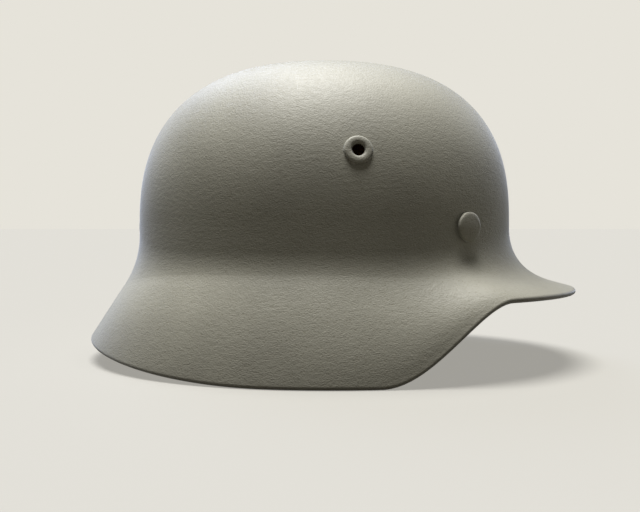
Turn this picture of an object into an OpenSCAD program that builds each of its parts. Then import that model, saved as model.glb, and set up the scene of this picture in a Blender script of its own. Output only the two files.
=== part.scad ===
// Pressed steel helmet with a flared skirt, a sprung band liner and a chinstrap.
// Millimetres. +X is the wearer's front, +Y the wearer's left, +Z up. The helmet
// stands on the rim of its skirt at z = 0, with the origin under the middle of its box.

/* [Skull] */
// Skull at the crease, from its widest place to the front
skull_front = 117; // [105:0.5:128]
// Skull at the crease, from its widest place to the rear
skull_rear = 112.5; // [101:0.5:124]
// Half of the skull's width at the crease
skull_half_width = 91; // [84:0.5:100]
// Height of the crown above the table
crown_height = 181.5; // [172:0.5:192]
// Height of the crease between skull and skirt
crease_height = 59; // [54:0.5:64]
// Height of the upright wall above the crease
wall_rise = 21; // [19:0.5:24]
// How square the front of the dome is, where 2 is an ellipse
front_fullness = 2.6; // [2:0.02:3]
// How square the rear of the dome is
rear_fullness = 2.46; // [2:0.02:3]
// How square the sides of the dome are
side_fullness = 2.3; // [2:0.02:3]
// Thickness of the pressed sheet
sheet = 1.2; // [0.9:0.05:1.6]

/* [Skirt and visor] */
// Reach of the visor beyond the skull
visor_reach = 39; // [30:0.5:46]
// Power of the visor's rim seen from above, where 1 is an ellipse and less is squarer
visor_power = 0.96; // [0.9:0.01:1]
// Height of the visor's rim
visor_height = 40.5; // [32:0.5:46]
// Drop of the crease from the sides to the front
visor_dip = 5; // [0:0.1:7]
// Reach of the skirt beyond the skull at the sides
side_reach = 24.5; // [18:0.5:30]
// Reach of the neck guard beyond the skull
rear_reach = 29.5; // [22:0.5:36]
// Rise of the rim at the rear
rear_rise = 12; // [0:0.5:18]
// Angle from the front where the visor's rim starts to drop
drop_start = 49; // [42:1:56]
// Angle from the front where the rim has reached the table
drop_end = 78; // [70:1:90]
// Angle from the front where the rim starts to rise again
rise_start = 100; // [95:1:130]
// Length of the fillet above the visor
front_blend = 28; // [20:0.5:32]
// Length of the fillet at the sides
side_blend = 14; // [8:0.5:18]
// Length of the fillet above the neck guard
rear_blend = 18; // [12:0.5:24]
// Radius of the rolled rim
roll_radius = 1.7; // [1.3:0.1:2.4]
// Height of the hem that the rolled rim leaves inside
hem_height = 5.5; // [4:0.5:8]

/* [Ventilation] */
// Angle of each vent from the front
vent_angle = 78; // [70:1:86]
// Height of each vent
vent_height = 120.2; // [112:0.2:128]
// Radius of the raised base of a vent
vent_base_r = 8.3; // [7:0.1:10]
// Radius of a vent's crest
vent_crest_r = 5.7; // [5:0.1:6.5]
// Radius of a vent's hole
vent_hole_r = 3.35; // [2.5:0.05:4]
// Height of a vent's crest above the skull
vent_rise = 2; // [1:0.1:3]

/* [Split pins] */
// Angle of the front pins from the front
pin_angle = 45; // [40:1:50]
// Height of the pins, and middle of both liner bands
pin_height = 80; // [78:0.5:82]
// Radius of a pin's head
pin_head_r = 8.1; // [6:0.1:9]
// Height of a pin's head
pin_head_t = 1.6; // [1.3:0.1:2.4]
// Radius of a pin's shank
pin_shank_r = 2.2; // [1.8:0.1:2.8]
// Radial clearance round a shank in its holes
pin_play = 0.25; // [0.15:0.05:0.5]
// Thickness of each of a pin's two prongs
prong_t = 1; // [0.7:0.1:1.3]
// Length of each prong after its bend
prong_l = 8; // [6:0.5:10]
// Thickness of the washer under the prongs
washer_t = 0.6; // [0.4:0.1:1]
// Radius of that washer
washer_r = 6; // [5:0.5:7.5]

/* [Liner bands] */
// Gap between the shell and the outer band
shell_gap = 0.9; // [0.8:0.1:1.2]
// Thickness of both bands
band_t = 0.8; // [0.6:0.1:1.2]
// Gap that the springs bridge between the bands
spring_gap = 4.8; // [4.7:0.1:5.5]
// Height of the outer band
outer_band_h = 22; // [20:0.5:26]
// Height of the inner band
inner_band_h = 25; // [23:0.5:29]
// Width of the windows in the inner band
window_w = 15; // [10:1:17]
// Height of those windows
window_h = 10; // [8:1:12]

/* [Springs] */
// Thickness of the leaf springs
leaf_t = 0.7; // [0.5:0.1:0.9]
// Height of the leaf springs
leaf_h = 13; // [10:0.5:13.5]
// Radius of the rivets that hold springs and tabs
rivet_r = 1.2; // [0.9:0.1:1.5]

/* [Leather and felt] */
// Thickness of the liner's leather
leather_t = 1.5; // [1:0.1:2]
// Thickness of the felt behind the leather
felt_t = 2.6; // [1.6:0.1:3.2]
// Height of the felt
felt_h = 18; // [14:0.5:18]
// Height of the leather's crown
leather_crown = 162; // [150:0.5:166]
// Size of the open ring at the tips, as a share of the liner's own width
tip_share = 0.24; // [0.2:0.01:0.3]
// Radius of the lace
lace_r = 1; // [0.7:0.1:1.2]
// Radius of the lace's holes
lace_hole_r = 2.4; // [2.2:0.1:2.8]

/* [Bales] */
// Radius of the bale's wire
bale_wire_r = 1.25; // [1:0.05:1.5]
// Width of a bale between the middles of its wires
bale_w = 22; // [20:0.5:26]
// Height of a bale between the middles of its wires
bale_h = 22; // [20:0.5:24]
// Thickness of the tab that holds a bale
tab_t = 0.8; // [0.6:0.1:1]
// Width of that tab
tab_w = 13; // [11:0.5:15]
// Radial clearance of the bale in its tab
bale_play = 0.08; // [0.03:0.01:0.1]

/* [Chinstrap] */
// Width of the strap
strap_w = 15; // [12:0.5:16]
// Thickness of the strap
strap_t = 1.8; // [1.4:0.1:2.2]
// Lowest place of the strap above the table
strap_floor = 2.6; // [2.4:0.1:4]
// Distance from the middle to the bar that the buckle hangs on
buckle_y = 30; // [26:0.5:34]
// Length of the buckle between the middles of its end bars
buckle_l = 18; // [16:0.5:20]
// Radius of the buckle's wire
buckle_r = 1.2; // [1:0.05:1.4]
// Radius of the buckle's prong
tongue_r = 0.9; // [0.7:0.05:1]
// Where the long strap's free end stops
tail_y = 61; // [56:0.5:62]
// Radius of the strap's bend at the table
strap_bend = 22; // [18:0.5:24]

/* [Hidden] */
$fn = 48;

// Columns round the shell, and rows of its dome, fillet and roll
columns = 72;
dome_rows = 13;
blend_rows = 6;
roll_steps = 4;
// Above 1 the dome's rows are closer at the crown
row_spread = 1.2;

// Gaps between pieces that touch, where one or both are curved, and round soft pieces
seat = 0.05;
curved_seat = 0.12;
rivet_seat = 0.15;
soft_gap = 0.3;
head_seat = 0.2;
low_head = 0.35;
// Parts of one solid run this far into each other
overlap = 0.3;
// A fillet takes at most this share of the skirt below it
fillet_cap = 0.85;
// Points round each band, and sides of each tube
ring_steps = 96;
tube_sides = 8;
// A direction that no tube runs along
near_up = [0.02, 0.03, 1];
skull_x = (rear_reach + skull_rear - visor_reach - skull_front) / 2;
// The wall stays upright at least as high as the pins
wall_top = max(crease_height + wall_rise, pin_height);

// Distances inward from the shell's inner wall to each layer of the liner
outer_band_in = shell_gap;
outer_band_face = outer_band_in + band_t;
inner_band_in = outer_band_face + spring_gap;
inner_band_face = inner_band_in + band_t;
felt_in = inner_band_face + rivet_seat + low_head + soft_gap;
leather_in = felt_in + felt_t + soft_gap;
leather_face = leather_in + leather_t;

outer_band_z = pin_height - outer_band_h / 2;
inner_band_z = pin_height - inner_band_h / 2;
inner_band_top = inner_band_z + inner_band_h;
felt_z = inner_band_top - felt_h;
clip_z = inner_band_z + 2.8;
liner_z = inner_band_z - 3;

spring_spots = [[0, 16], [112, 13], [-112, 13], [152, 12], [-152, 12]];
window_angles = [29, 45, 61, 77, -29, -45, -61, -77, 180];
clip_angles = [for (k = [0:15]) 11.25 + 22.5 * k];
fingers = 8;

hole_r = pin_shank_r + pin_play;
rivet_play = 0.05;
rivet_dome = 0.7;
band_flat = 0.3;
// Length of the cylinders that cut holes through the sheet and the bands
cut_depth = 12;

// Small helpers on numbers and vectors

function clamp01(t) = max(0, min(1, t));
function ease(t) = let (u = clamp01(t)) u * u * (3 - 2 * u);
function unit(v) = v / norm(v);
function mix(a, b, t) = a * (1 - t) + b * t;
function power(v, e) = sign(v) * pow(abs(v), e);
function end_of(phi, front, rear) = cos(phi) > 0 ? front : rear;

// Two triangles for each cell of a closed grid of rows, and a fan at each end

function cell(i, j, rows, cols) = let (
    a = 1 + i * cols + j, b = 1 + i * cols + (j + 1) % cols, c = a + cols, d = b + cols)
    [[a, b, d], [a, d, c]];
function grid_faces(rows, cols) = concat(
    [for (j = [0:cols - 1]) [0, 1 + (j + 1) % cols, 1 + j]],
    [for (i = [0:rows - 2]) for (j = [0:cols - 1]) for (f = cell(i, j, rows, cols)) f],
    [for (j = [0:cols - 1])
        [1 + rows * cols, 1 + (rows - 1) * cols + j, 1 + (rows - 1) * cols + (j + 1) % cols]]);

// The shell's outer surface, column by column from the crown to the rim

function crease_at(phi) = [
    end_of(phi, skull_front, skull_rear) * cos(phi),
    skull_half_width * sin(phi),
    crease_height - (cos(phi) > 0 ? visor_dip * pow(cos(phi), 2) : 0)];
function dome_at(phi, psi) = let (
    w = pow(cos(phi), 2),
    n = end_of(phi, front_fullness, rear_fullness) * w + side_fullness * (1 - w),
    u = pow(sin(psi), 2 / n),
    v = pow(cos(psi), 2 / n),
    c = crease_at(phi))
    [c[0] * u, c[1] * u, wall_top + (crown_height - wall_top) * v];
function rim_height(phi) = let (ang = abs(acos(cos(phi))))
    visor_height * (1 - ease((ang - drop_start) / (drop_end - drop_start)))
    + rear_rise * ease((ang - rise_start) / (180 - rise_start)) + roll_radius;
function roll_at(phi) = let (
    a = end_of(phi, skull_front + visor_reach, skull_rear + rear_reach) - roll_radius,
    e = end_of(phi, visor_power, 1))
    [a * power(cos(phi), e), (skull_half_width + side_reach - roll_radius) * power(sin(phi), e),
     rim_height(phi)];
function fall_at(phi) = unit(roll_at(phi) - crease_at(phi));
function out_at(phi) = unit(cross(fall_at(phi), roll_at(phi + 1) - roll_at(phi - 1)));
function edge_at(phi) = roll_at(phi) + roll_radius * out_at(phi);
function blend_length(phi) = let (w = pow(cos(phi), 2))
    side_blend * (1 - w) + end_of(phi, front_blend, rear_blend) * w;
function blend_at(phi, t) = let (
    c = crease_at(phi), d = edge_at(phi) - c, q = blend_length(phi),
    up = c + [0, 0, min(q, wall_top - c[2])], down = c + unit(d) * min(q, fillet_cap * norm(d)))
    up * pow(1 - t, 2) + c * 2 * t * (1 - t) + down * t * t;
function skirt_at(phi, s) = mix(blend_at(phi, 1), edge_at(phi), s);
function hem_share(phi) = 1 - hem_height / norm(edge_at(phi) - blend_at(phi, 1));

function outer_column(phi) = concat(
    [for (i = [1:dome_rows]) dome_at(phi, 90 * pow(i / dome_rows, row_spread))],
    [for (i = [0:blend_rows]) blend_at(phi, i / blend_rows)],
    [for (s = [hem_share(phi) / 2, hem_share(phi)]) skirt_at(phi, s)]);
outer_columns = [for (j = [0:columns - 1]) outer_column(360 * j / columns)];
outer_rows = len(outer_columns[0]);

// Outward normal of that surface at row i of column j, from its neighbours

function normal_at(i, j) = let (
    east = outer_columns[(j + 1) % columns][i] - outer_columns[(j + columns - 1) % columns][i],
    south = outer_columns[j][min(i + 1, outer_rows - 1)] - outer_columns[j][max(i - 1, 0)])
    unit(cross(south, east));
function rim_rows(phi) = let (c = roll_at(phi), n = out_at(phi), t = fall_at(phi)) concat(
    [for (k = [0:roll_steps]) let (a = 180 * k / roll_steps)
        c + roll_radius * (cos(a) * n + sin(a) * t)],
    [c - roll_radius * n - (hem_height - overlap) * t]);
shell_rows = concat(
    [for (i = [0:outer_rows - 1]) [for (j = [0:columns - 1]) outer_columns[j][i]]],
    [for (k = [0:roll_steps + 1]) [for (j = [0:columns - 1]) rim_rows(360 * j / columns)[k]]],
    [for (i = [outer_rows - 1:-1:0])
        [for (j = [0:columns - 1]) outer_columns[j][i] - sheet * normal_at(i, j)]]);

// How far the fillet stands out of the upright wall at a height

function fillet_out(phi, z) = let (
    top = blend_at(phi, 0)[2], c = crease_at(phi), low = blend_at(phi, 1),
    l = top - c[2], f = c[2] - low[2] - l,
    t = z > top ? 0 : (sqrt(l * l + f * (top - z)) - l) / f)
    norm([low[0] - c[0], low[1] - c[1]]) * t * t;
function seat_of(phi) = head_seat + fillet_out(phi, pin_height - pin_head_r);

// Places on the upright wall and the liner, by angle from the front and distance inward

function wall_x(phi, inward) = (end_of(phi, skull_front, skull_rear) - sheet - inward) * cos(phi);
function wall_y(phi, inward) = (skull_half_width - sheet - inward) * sin(phi);
function wall_point(phi, inward) = [wall_x(phi, inward), wall_y(phi, inward)];
function heading(phi) = atan2(
    end_of(phi, skull_front, skull_rear) * sin(phi), skull_half_width * cos(phi));
function ring_outline(inward) = [for (j = [0:ring_steps - 1]) wall_point(360 * j / ring_steps, inward)];

// Puts its children where +X points straight out of the wall

module on_wall(phi, inward, z) {
    p = wall_point(phi, 0);
    translate([p[0], p[1], z]) rotate([0, 0, heading(phi)]) translate([-inward, 0, 0]) children();
}
module in_frame() {
    translate([skull_x, 0, 0]) children();
}
module ring_band(near, far, z, h) {
    translate([0, 0, z]) linear_extrude(h) difference() {
        polygon(ring_outline(near));
        polygon(ring_outline(far));
    }
}

// A tube of given radius along points

function tangent(pts, i, closed) = let (n = len(pts))
    closed ? unit(pts[(i + 1) % n] - pts[(i + n - 1) % n])
    : unit(pts[min(i + 1, n - 1)] - pts[max(i - 1, 0)]);
function tube_ring(pts, i, r, closed) = let (
    t = tangent(pts, i, closed), side = unit(cross(t, near_up)), up = cross(side, t))
    [for (k = [0:tube_sides - 1]) let (a = 360 * k / tube_sides)
        pts[i] + r * (cos(a) * side + sin(a) * up)];
function tube_cells(n, rings) = [for (i = [0:rings - 1]) for (k = [0:tube_sides - 1]) let (
    next = (k + 1) % tube_sides, low = tube_sides * i, high = tube_sides * ((i + 1) % n),
    a = low + k, b = low + next, c = high + k, d = high + next) each [[a, b, d], [a, d, c]]];
module closed_tube(pts, r) {
    n = len(pts);
    polyhedron([for (i = [0:n - 1]) each tube_ring(pts, i, r, true)], tube_cells(n, n));
}
module open_tube(pts, r) {
    n = len(pts);
    polyhedron([for (i = [0:n - 1]) each tube_ring(pts, i, r, false)],
        concat(tube_cells(n, n - 1), [[for (k = [tube_sides - 1:-1:0]) k]],
            [[for (k = [0:tube_sides - 1]) tube_sides * (n - 1) + k]]));
}

// Where the vents stand on the skull, and which way they look

vent_psi = acos(pow((vent_height - wall_top) / (crown_height - wall_top),
    (front_fullness * pow(cos(vent_angle), 2) + side_fullness * pow(sin(vent_angle), 2)) / 2));
vent_spot = dome_at(vent_angle, vent_psi);
vent_normal = unit(cross(
    dome_at(vent_angle, vent_psi + 1) - dome_at(vent_angle, vent_psi - 1),
    dome_at(vent_angle + 1, vent_psi) - dome_at(vent_angle - 1, vent_psi)));
module at_vent() {
    n = vent_normal;
    translate(vent_spot) rotate([0, acos(n[2]), atan2(n[1], n[0])]) children();
}
// The skull falls away from the vent's own flat circle by this much at its base
vent_fall = 0.36;
// How far the stamped ring runs on outside its base, and how deep in the sheet
vent_lap = 0.6;
vent_sink = 0.55;
// Depth of the funnel inside the crest, as a share of the rise, and its curve
funnel_share = 0.9;
funnel_power = 1.6;
// Width of the turned edge at the hole, and thickness of the ring's wall
hole_edge = 0.9;
ring_wall = 1.45 * sheet;
vent_inner = overlap - sheet;
function vent_sag(r) = vent_fall * pow(r / vent_base_r, 2);
function vent_slope(r) = let (t = (vent_base_r - r) / (vent_base_r - vent_crest_r)) vent_rise * ease(t);
function vent_funnel(r) = let (t = (vent_crest_r - r) / (vent_crest_r - vent_hole_r))
    vent_rise * (1 - funnel_share * pow(t, funnel_power));
vent_outline = concat(
    [[vent_base_r + vent_lap, -vent_sink]],
    [for (k = [0:6]) let (r = mix(vent_base_r, vent_crest_r, k / 6)) [r, vent_slope(r) - vent_sag(r)]],
    [for (k = [1:4]) let (r = mix(vent_crest_r, vent_hole_r, k / 4)) [r, vent_funnel(r) - vent_sag(r)]],
    [[vent_hole_r, vent_inner], [vent_hole_r + hole_edge, vent_inner],
     [vent_crest_r, vent_rise - ring_wall], [vent_base_r - hole_edge, vent_inner],
     [vent_base_r + vent_lap, vent_inner]]);

module one_vent() {
    at_vent() rotate_extrude() polygon(vent_outline);
}
module vent_cut() {
    at_vent() translate([0, 0, -cut_depth / 2]) cylinder(r = vent_base_r, h = cut_depth);
}
module pin_cut(phi) {
    on_wall(phi, 0, pin_height) rotate([0, 90, 0]) translate([0, 0, -cut_depth / 2])
        cylinder(r = hole_r, h = cut_depth);
}

module shell() {
    color("#6e7072") in_frame() {
        difference() {
            polyhedron(
                concat([[0, 0, crown_height]], [for (row = shell_rows) for (p = row) p],
                    [[0, 0, crown_height - sheet]]),
                grid_faces(len(shell_rows), columns));
            vent_cut();
            mirror([0, 1, 0]) vent_cut();
            for (phi = [pin_angle, -pin_angle, 180]) pin_cut(phi);
        }
        one_vent();
        mirror([0, 1, 0]) one_vent();
    }
}

// A split pin: a domed head outside, and two prongs bent flat over the washer

inner_bend_r = 0.6;
bend_r = prong_t / 2 + inner_bend_r;
prong_w = 2 * pin_shank_r - 1;
split_w = 0.4;
head_dish = 0.4;
head_round = 1.4;
head_edge = 0.7;
head_shoulder = 0.6;
head_crown = 0.3;
washer_in = outer_band_face + band_flat;
prong_in = washer_in + washer_t + seat;
module pin_head() {
    rotate([0, 90, 0]) rotate_extrude() polygon(concat(
        [[0, head_dish], [pin_head_r - 1.5, 0.3], [pin_head_r - 0.3, 0], [pin_head_r, 0.25]],
        [for (k = [0:6]) let (a = 15 * k) [
            pin_head_r - head_round * (1 - cos(a)) - head_shoulder * sin(a),
            head_edge + (pin_head_t - head_crown - head_edge) * sin(a)]],
        [[0, pin_head_t]]));
}
module prong(shank_l) {
    translate([-shank_l, 0, 0]) {
        translate([0, 0, bend_r]) rotate([90, 0, 0]) rotate([0, 0, 180]) rotate_extrude(angle = 90)
            translate([bend_r, 0]) square([prong_t, prong_w], center = true);
        translate([-bend_r - prong_t / 2, -prong_w / 2, bend_r]) cube([prong_t, prong_w, prong_l]);
    }
}
module split_pin(phi) {
    shank_l = sheet + seat_of(phi) + prong_in - inner_bend_r;
    color("#6b6d6e") in_frame() on_wall(phi, -sheet - seat_of(phi), pin_height) {
        pin_head();
        difference() {
            translate([1, 0, 0]) rotate([0, -90, 0]) cylinder(r = pin_shank_r, h = shank_l + 1);
            translate([-shank_l - 1, -pin_head_r, -split_w / 2])
                cube([shank_l - 1, 2 * pin_head_r, split_w]);
        }
        prong(shank_l);
        mirror([0, 0, 1]) prong(shank_l);
    }
}
module pin_right() { split_pin(-pin_angle); }
module pin_left() { split_pin(pin_angle); }
module pin_rear() { split_pin(180); }

module pin_washers() {
    color("#8a8c8e") in_frame() for (phi = [pin_angle, -pin_angle, 180])
        on_wall(phi, washer_in, pin_height) rotate([0, -90, 0]) difference() {
            cylinder(r = washer_r, h = washer_t);
            translate([0, 0, -washer_t]) cylinder(r = hole_r, h = 3 * washer_t);
        }
}

// The two bands and the leaf springs between them

function spring_spread(spot) = [-spot[1], 0, spot[1]];
module rivet_hole(phi, inward, z) {
    on_wall(phi, inward, z) rotate([0, 90, 0]) translate([0, 0, -1.5])
        cylinder(r = rivet_r + rivet_play, h = 3);
}
module outer_band() {
    color("#7d8286") in_frame() difference() {
        ring_band(outer_band_in, outer_band_face, outer_band_z, outer_band_h);
        for (phi = [pin_angle, -pin_angle, 180]) pin_cut(phi);
        for (spot = spring_spots) rivet_hole(spot[0], outer_band_in, pin_height);
        for (side = [1, -1]) for (dz = tab_rivet_z)
            translate([0, side * tab_y, dz]) rotate([90, 0, 0]) translate([0, 0, -cut_depth / 4])
                cylinder(r = rivet_r + rivet_play, h = cut_depth / 2);
    }
}
module window_cut(phi) {
    on_wall(phi, inner_band_in, pin_height) cube([4, window_w, window_h], center = true);
}
module inner_band() {
    color("#7d8286") in_frame() difference() {
        ring_band(inner_band_in, inner_band_face, inner_band_z, inner_band_h);
        for (phi = window_angles) window_cut(phi);
        for (spot = spring_spots) for (d = [-spot[1], spot[1]])
            rivet_hole(spot[0] + d, inner_band_in, pin_height);
        for (phi = clip_angles) rivet_hole(phi, inner_band_in, clip_z);
    }
}

// A leaf spring: riveted to the outer band in its middle and to the inner band at its ends

// The middle and each end of a leaf lie flat along this share of its half
leaf_foot = 0.22;
function leaf_inward(t) = mix(outer_band_face + curved_seat, inner_band_in - curved_seat - leaf_t,
    ease((abs(t) - leaf_foot) / (1 - 2 * leaf_foot)));
function leaf_outline(spot, extra) = [for (k = [-12:12]) let (t = k / 12)
    wall_point(spot[0] + t * (spot[1] + 2), leaf_inward(t) + extra)];
function backwards(pts) = [for (i = [len(pts) - 1:-1:0]) pts[i]];
module leaf_spring(spot) {
    color("#5f6468") in_frame() difference() {
        translate([0, 0, pin_height - leaf_h / 2]) linear_extrude(leaf_h)
            polygon(concat(leaf_outline(spot, 0), backwards(leaf_outline(spot, leaf_t))));
        for (d = spring_spread(spot))
            rivet_hole(spot[0] + d, d == 0 ? outer_band_face : inner_band_in, pin_height);
    }
}
module spring_front() { leaf_spring(spring_spots[0]); }
module spring_left() { leaf_spring(spring_spots[1]); }
module spring_right() { leaf_spring(spring_spots[2]); }
module spring_rear_left() { leaf_spring(spring_spots[3]); }
module spring_rear_right() { leaf_spring(spring_spots[4]); }

// A rivet through two layers: a dome on its first side and a flat head on its second

module rivet(grip, dome) {
    rotate([0, 90, 0]) {
        translate([0, 0, grip]) cylinder(r = 2 * rivet_r, h = low_head);
        cylinder(r = rivet_r, h = grip);
        mirror([0, 0, 1]) rotate_extrude() polygon([[0, 0], [2 * rivet_r, 0],
            [1.8 * rivet_r, 0.6 * dome], [rivet_r, dome], [0, dome]]);
    }
}
module spring_rivets() {
    grip = band_t + leaf_t + curved_seat + 2 * rivet_seat;
    color("#8a8c8e") in_frame() for (spot = spring_spots) {
        on_wall(spot[0], outer_band_in - rivet_seat + grip, pin_height) rivet(grip, rivet_dome);
        for (d = [-spot[1], spot[1]])
            on_wall(spot[0] + d, inner_band_face + rivet_seat - grip, pin_height)
                mirror([1, 0, 0]) rivet(grip, rivet_dome);
    }
}

// Felt between the inner band and the leather

module felt_ring() {
    color("#6f6a58") in_frame() ring_band(felt_in, felt_in + felt_t, felt_z, felt_h);
}

// The leather: a sweatband that closes under the inner band, and eight tapering fingers.
// Its columns are spread finger by finger, so the gaps between the fingers are open.

finger_cols = 8;
finger_rows = 8;
liner_face_low = inner_band_face + soft_gap;
band_profile = [
    [liner_z, inner_band_in + 0.4, liner_face_low + leather_t - 0.3],
    [inner_band_z - soft_gap, inner_band_in, liner_face_low + leather_t],
    [inner_band_z - soft_gap + 0.05, liner_face_low, liner_face_low + leather_t],
    [felt_z - 1.2, liner_face_low, liner_face_low + leather_t],
    [felt_z - soft_gap, leather_in, leather_face],
    [inner_band_top, leather_in, leather_face]];
leather_fullness = 2.2;
tip_psi = asin(pow(tip_share, leather_fullness / 2));
finger_psi = [for (k = [1:finger_rows]) 90 - (90 - tip_psi) * k / finger_rows];
function finger_fill(k) = k < 0 ? 0.985 : let (t = k / (finger_rows - 1))
    t > 0.99 ? 0.5 : t > 0.85 ? 0.78 : 0.95 - 0.2 * sin(150 * t);
function leather_rise(psi) = pow(cos(psi), 2 / leather_fullness);
function leather_spread(psi) = pow(sin(psi), 2 / leather_fullness);
function liner_point(phi, inward, psi, drop) = let (s = leather_spread(psi))
    [wall_x(phi, inward) * s, wall_y(phi, inward) * s,
     inner_band_top + (leather_crown - drop - inner_band_top) * leather_rise(psi)];
finger_pitch = 360 / fingers;
function finger_phi(f, c, fill) = finger_pitch * (f + fill * (c / finger_cols - 0.5));
function liner_row(i, outer) = let (low = len(band_profile)) [
    for (f = [0:fingers - 1]) for (c = [0:finger_cols])
        i < low ? let (phi = finger_phi(f, c, finger_fill(-1)), r = band_profile[i])
            concat(wall_point(phi, outer ? r[1] : r[2]), [r[0]])
        : let (phi = finger_phi(f, c, finger_fill(i - low)))
            liner_point(phi, outer ? leather_in : leather_face, finger_psi[i - low],
                outer ? 0 : leather_t)];
liner_rows = len(band_profile) + finger_rows;
liner_cols = fingers * (finger_cols + 1);
split_row = len(band_profile) - 1;
function liner_id(i, j, inner) = (inner ? liner_rows * liner_cols : 0) + i * liner_cols + j % liner_cols;
function quad(a, b, c, d) = [[a, c, b], [a, d, c]];
function is_gap(j) = j % (finger_cols + 1) == finger_cols;
function liner_faces() = concat(
    [for (i = [0:liner_rows - 2]) for (j = [0:liner_cols - 1]) if (i < split_row || !is_gap(j)) each
        concat(
            quad(liner_id(i, j, false), liner_id(i, j + 1, false),
                liner_id(i + 1, j + 1, false), liner_id(i + 1, j, false)),
            quad(liner_id(i, j, true), liner_id(i + 1, j, true),
                liner_id(i + 1, j + 1, true), liner_id(i, j + 1, true)))],
    [for (j = [0:liner_cols - 1]) each
        quad(liner_id(0, j, false), liner_id(0, j, true),
            liner_id(0, j + 1, true), liner_id(0, j + 1, false))],
    [for (j = [0:liner_cols - 1]) let (i = is_gap(j) ? split_row : liner_rows - 1) each
        quad(liner_id(i, j, false), liner_id(i, j + 1, false),
            liner_id(i, j + 1, true), liner_id(i, j, true))],
    [for (i = [split_row:liner_rows - 2]) for (f = [0:fingers - 1]) let (
        a = f * (finger_cols + 1), b = a + finger_cols) each concat(
            quad(liner_id(i, a, false), liner_id(i + 1, a, false),
                liner_id(i + 1, a, true), liner_id(i, a, true)),
            quad(liner_id(i, b, false), liner_id(i, b, true),
                liner_id(i + 1, b, true), liner_id(i + 1, b, false)))]);
lace_psi = finger_psi[finger_rows - 2];
lace_mid_in = (leather_in + leather_face) / 2;
function lace_spot(phi) = liner_point(phi, lace_mid_in, lace_psi, leather_t / 2);
module leather_liner() {
    color("#7a5a3c") in_frame() difference() {
        polyhedron(
            concat(
                [for (i = [0:liner_rows - 1]) each liner_row(i, true)],
                [for (i = [0:liner_rows - 1]) each liner_row(i, false)]),
            liner_faces());
        for (k = [0:fingers - 1])
            translate(lace_spot(finger_pitch * k)) translate([0, 0, -6]) cylinder(r = lace_hole_r, h = 12);
        for (phi = clip_angles)
            on_wall(phi, liner_face_low, clip_z) rotate([0, 90, 0]) translate([0, 0, -3])
                cylinder(r = rivet_r + soft_gap, h = 5);
    }
}

// A clip: a low round head on the leather, a shank, and two legs bent along the band

module leather_clips() {
    reach = liner_face_low + leather_t - inner_band_in;
    head_r = 2.6;
    leg_t = 0.5;
    leg_w = 2;
    leg_l = 5;
    color("#8a8c8e") in_frame() for (phi = clip_angles)
        on_wall(phi, inner_band_in, clip_z) {
            translate([-reach - soft_gap, 0, 0]) rotate([0, -90, 0]) rotate_extrude()
                polygon([[0, 0], [head_r, 0], [head_r - 0.2, 0.35], [head_r - 1.2, 0.7], [0, 0.8]]);
            translate([overlap, 0, 0]) rotate([0, -90, 0])
                cylinder(r = rivet_r - 0.1, h = reach + soft_gap + overlap + 0.1);
            translate([curved_seat + 0.1, -leg_l, -leg_w / 2]) cube([leg_t, 2 * leg_l, leg_w]);
        }
}

// The lace weaves up and down through the eight tips and is knotted between two of them

lace_lift = leather_t / 2 + lace_r + 1.5 * soft_gap;
lace_steps = [3.2, 9, 16, 22.5, 29, 36, 41.8];
function lace_point(f, step) = lace_spot(finger_pitch * f + step) + [0, 0, (f % 2 == 0 ? 1 : -1) * lace_lift];
lace_route = [for (f = [0:fingers - 1]) for (step = lace_steps) lace_point(f, step)];
knot_at = lace_point(fingers / 2, 180 / fingers) + [0, 0, 2 * soft_gap];
// Steps of each loose end of the lace from the knot: along, aside and up
lace_tail = [[-3, 3, 1], [-8, 6, 1.6], [-13, 7, 1], [-18, 6, -0.4]];
knot_r = 2.4 * lace_r;
module lace_end(side) {
    open_tube(concat([knot_at], [for (p = lace_tail) knot_at + [p[0], side * p[1], p[2]]]), lace_r);
}
module crown_lace() {
    color("#8d7d63") in_frame() {
        closed_tube(lace_route, lace_r);
        translate(knot_at) sphere(r = knot_r, $fn = 24);
        lace_end(1);
        lace_end(-1);
    }
}

// Tabs on the outer band, with an eye at the foot for the bale's upper bar

eye_r = bale_wire_r + bale_play;
tab_y = skull_half_width - sheet - outer_band_face - band_flat - tab_t / 2;
hinge_y = tab_y - eye_r - tab_t / 2;
hinge_z = outer_band_z - 3;
lower_bar_z = hinge_z - bale_h;
eye_w = 8;
tab_foot = outer_band_z + 0.5;
tab_top = outer_band_z + outer_band_h - 3;
tab_rivet_z = [for (share = [4, 7.5]) outer_band_z + outer_band_h * share / 11];
module bale_tab() {
    difference() {
        union() {
            translate([-tab_w / 2, tab_y - tab_t / 2, tab_foot]) cube([tab_w, tab_t, tab_top - tab_foot]);
            translate([-eye_w / 2, tab_y - tab_t / 2, hinge_z])
                cube([eye_w, tab_t, tab_foot + overlap - hinge_z]);
            translate([-eye_w / 2, hinge_y, hinge_z]) rotate([0, 90, 0])
                cylinder(r = eye_r + tab_t, h = eye_w);
        }
        translate([-eye_w, hinge_y, hinge_z]) rotate([0, 90, 0]) cylinder(r = eye_r, h = 2 * eye_w);
        for (z = tab_rivet_z) translate([0, tab_y, z]) rotate([90, 0, 0])
            translate([0, 0, -cut_depth / 4]) cylinder(r = rivet_r + rivet_play, h = cut_depth / 2);
    }
}
module bale_tab_left() { color("#6d7175") in_frame() bale_tab(); }
module bale_tab_right() { color("#6d7175") in_frame() mirror([0, 1, 0]) bale_tab(); }
module bale_tab_rivets() {
    color("#8a8c8e") in_frame() for (side = [0, 1]) mirror([0, side, 0]) for (z = tab_rivet_z)
        translate([0, tab_y - tab_t / 2 - rivet_seat, z]) rotate([0, 0, 90])
            rivet(band_t + band_flat + tab_t + 2 * rivet_seat, rivet_dome);
}

// A bale: a rounded wire rectangle in the XZ plane, hinged on its upper bar

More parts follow.
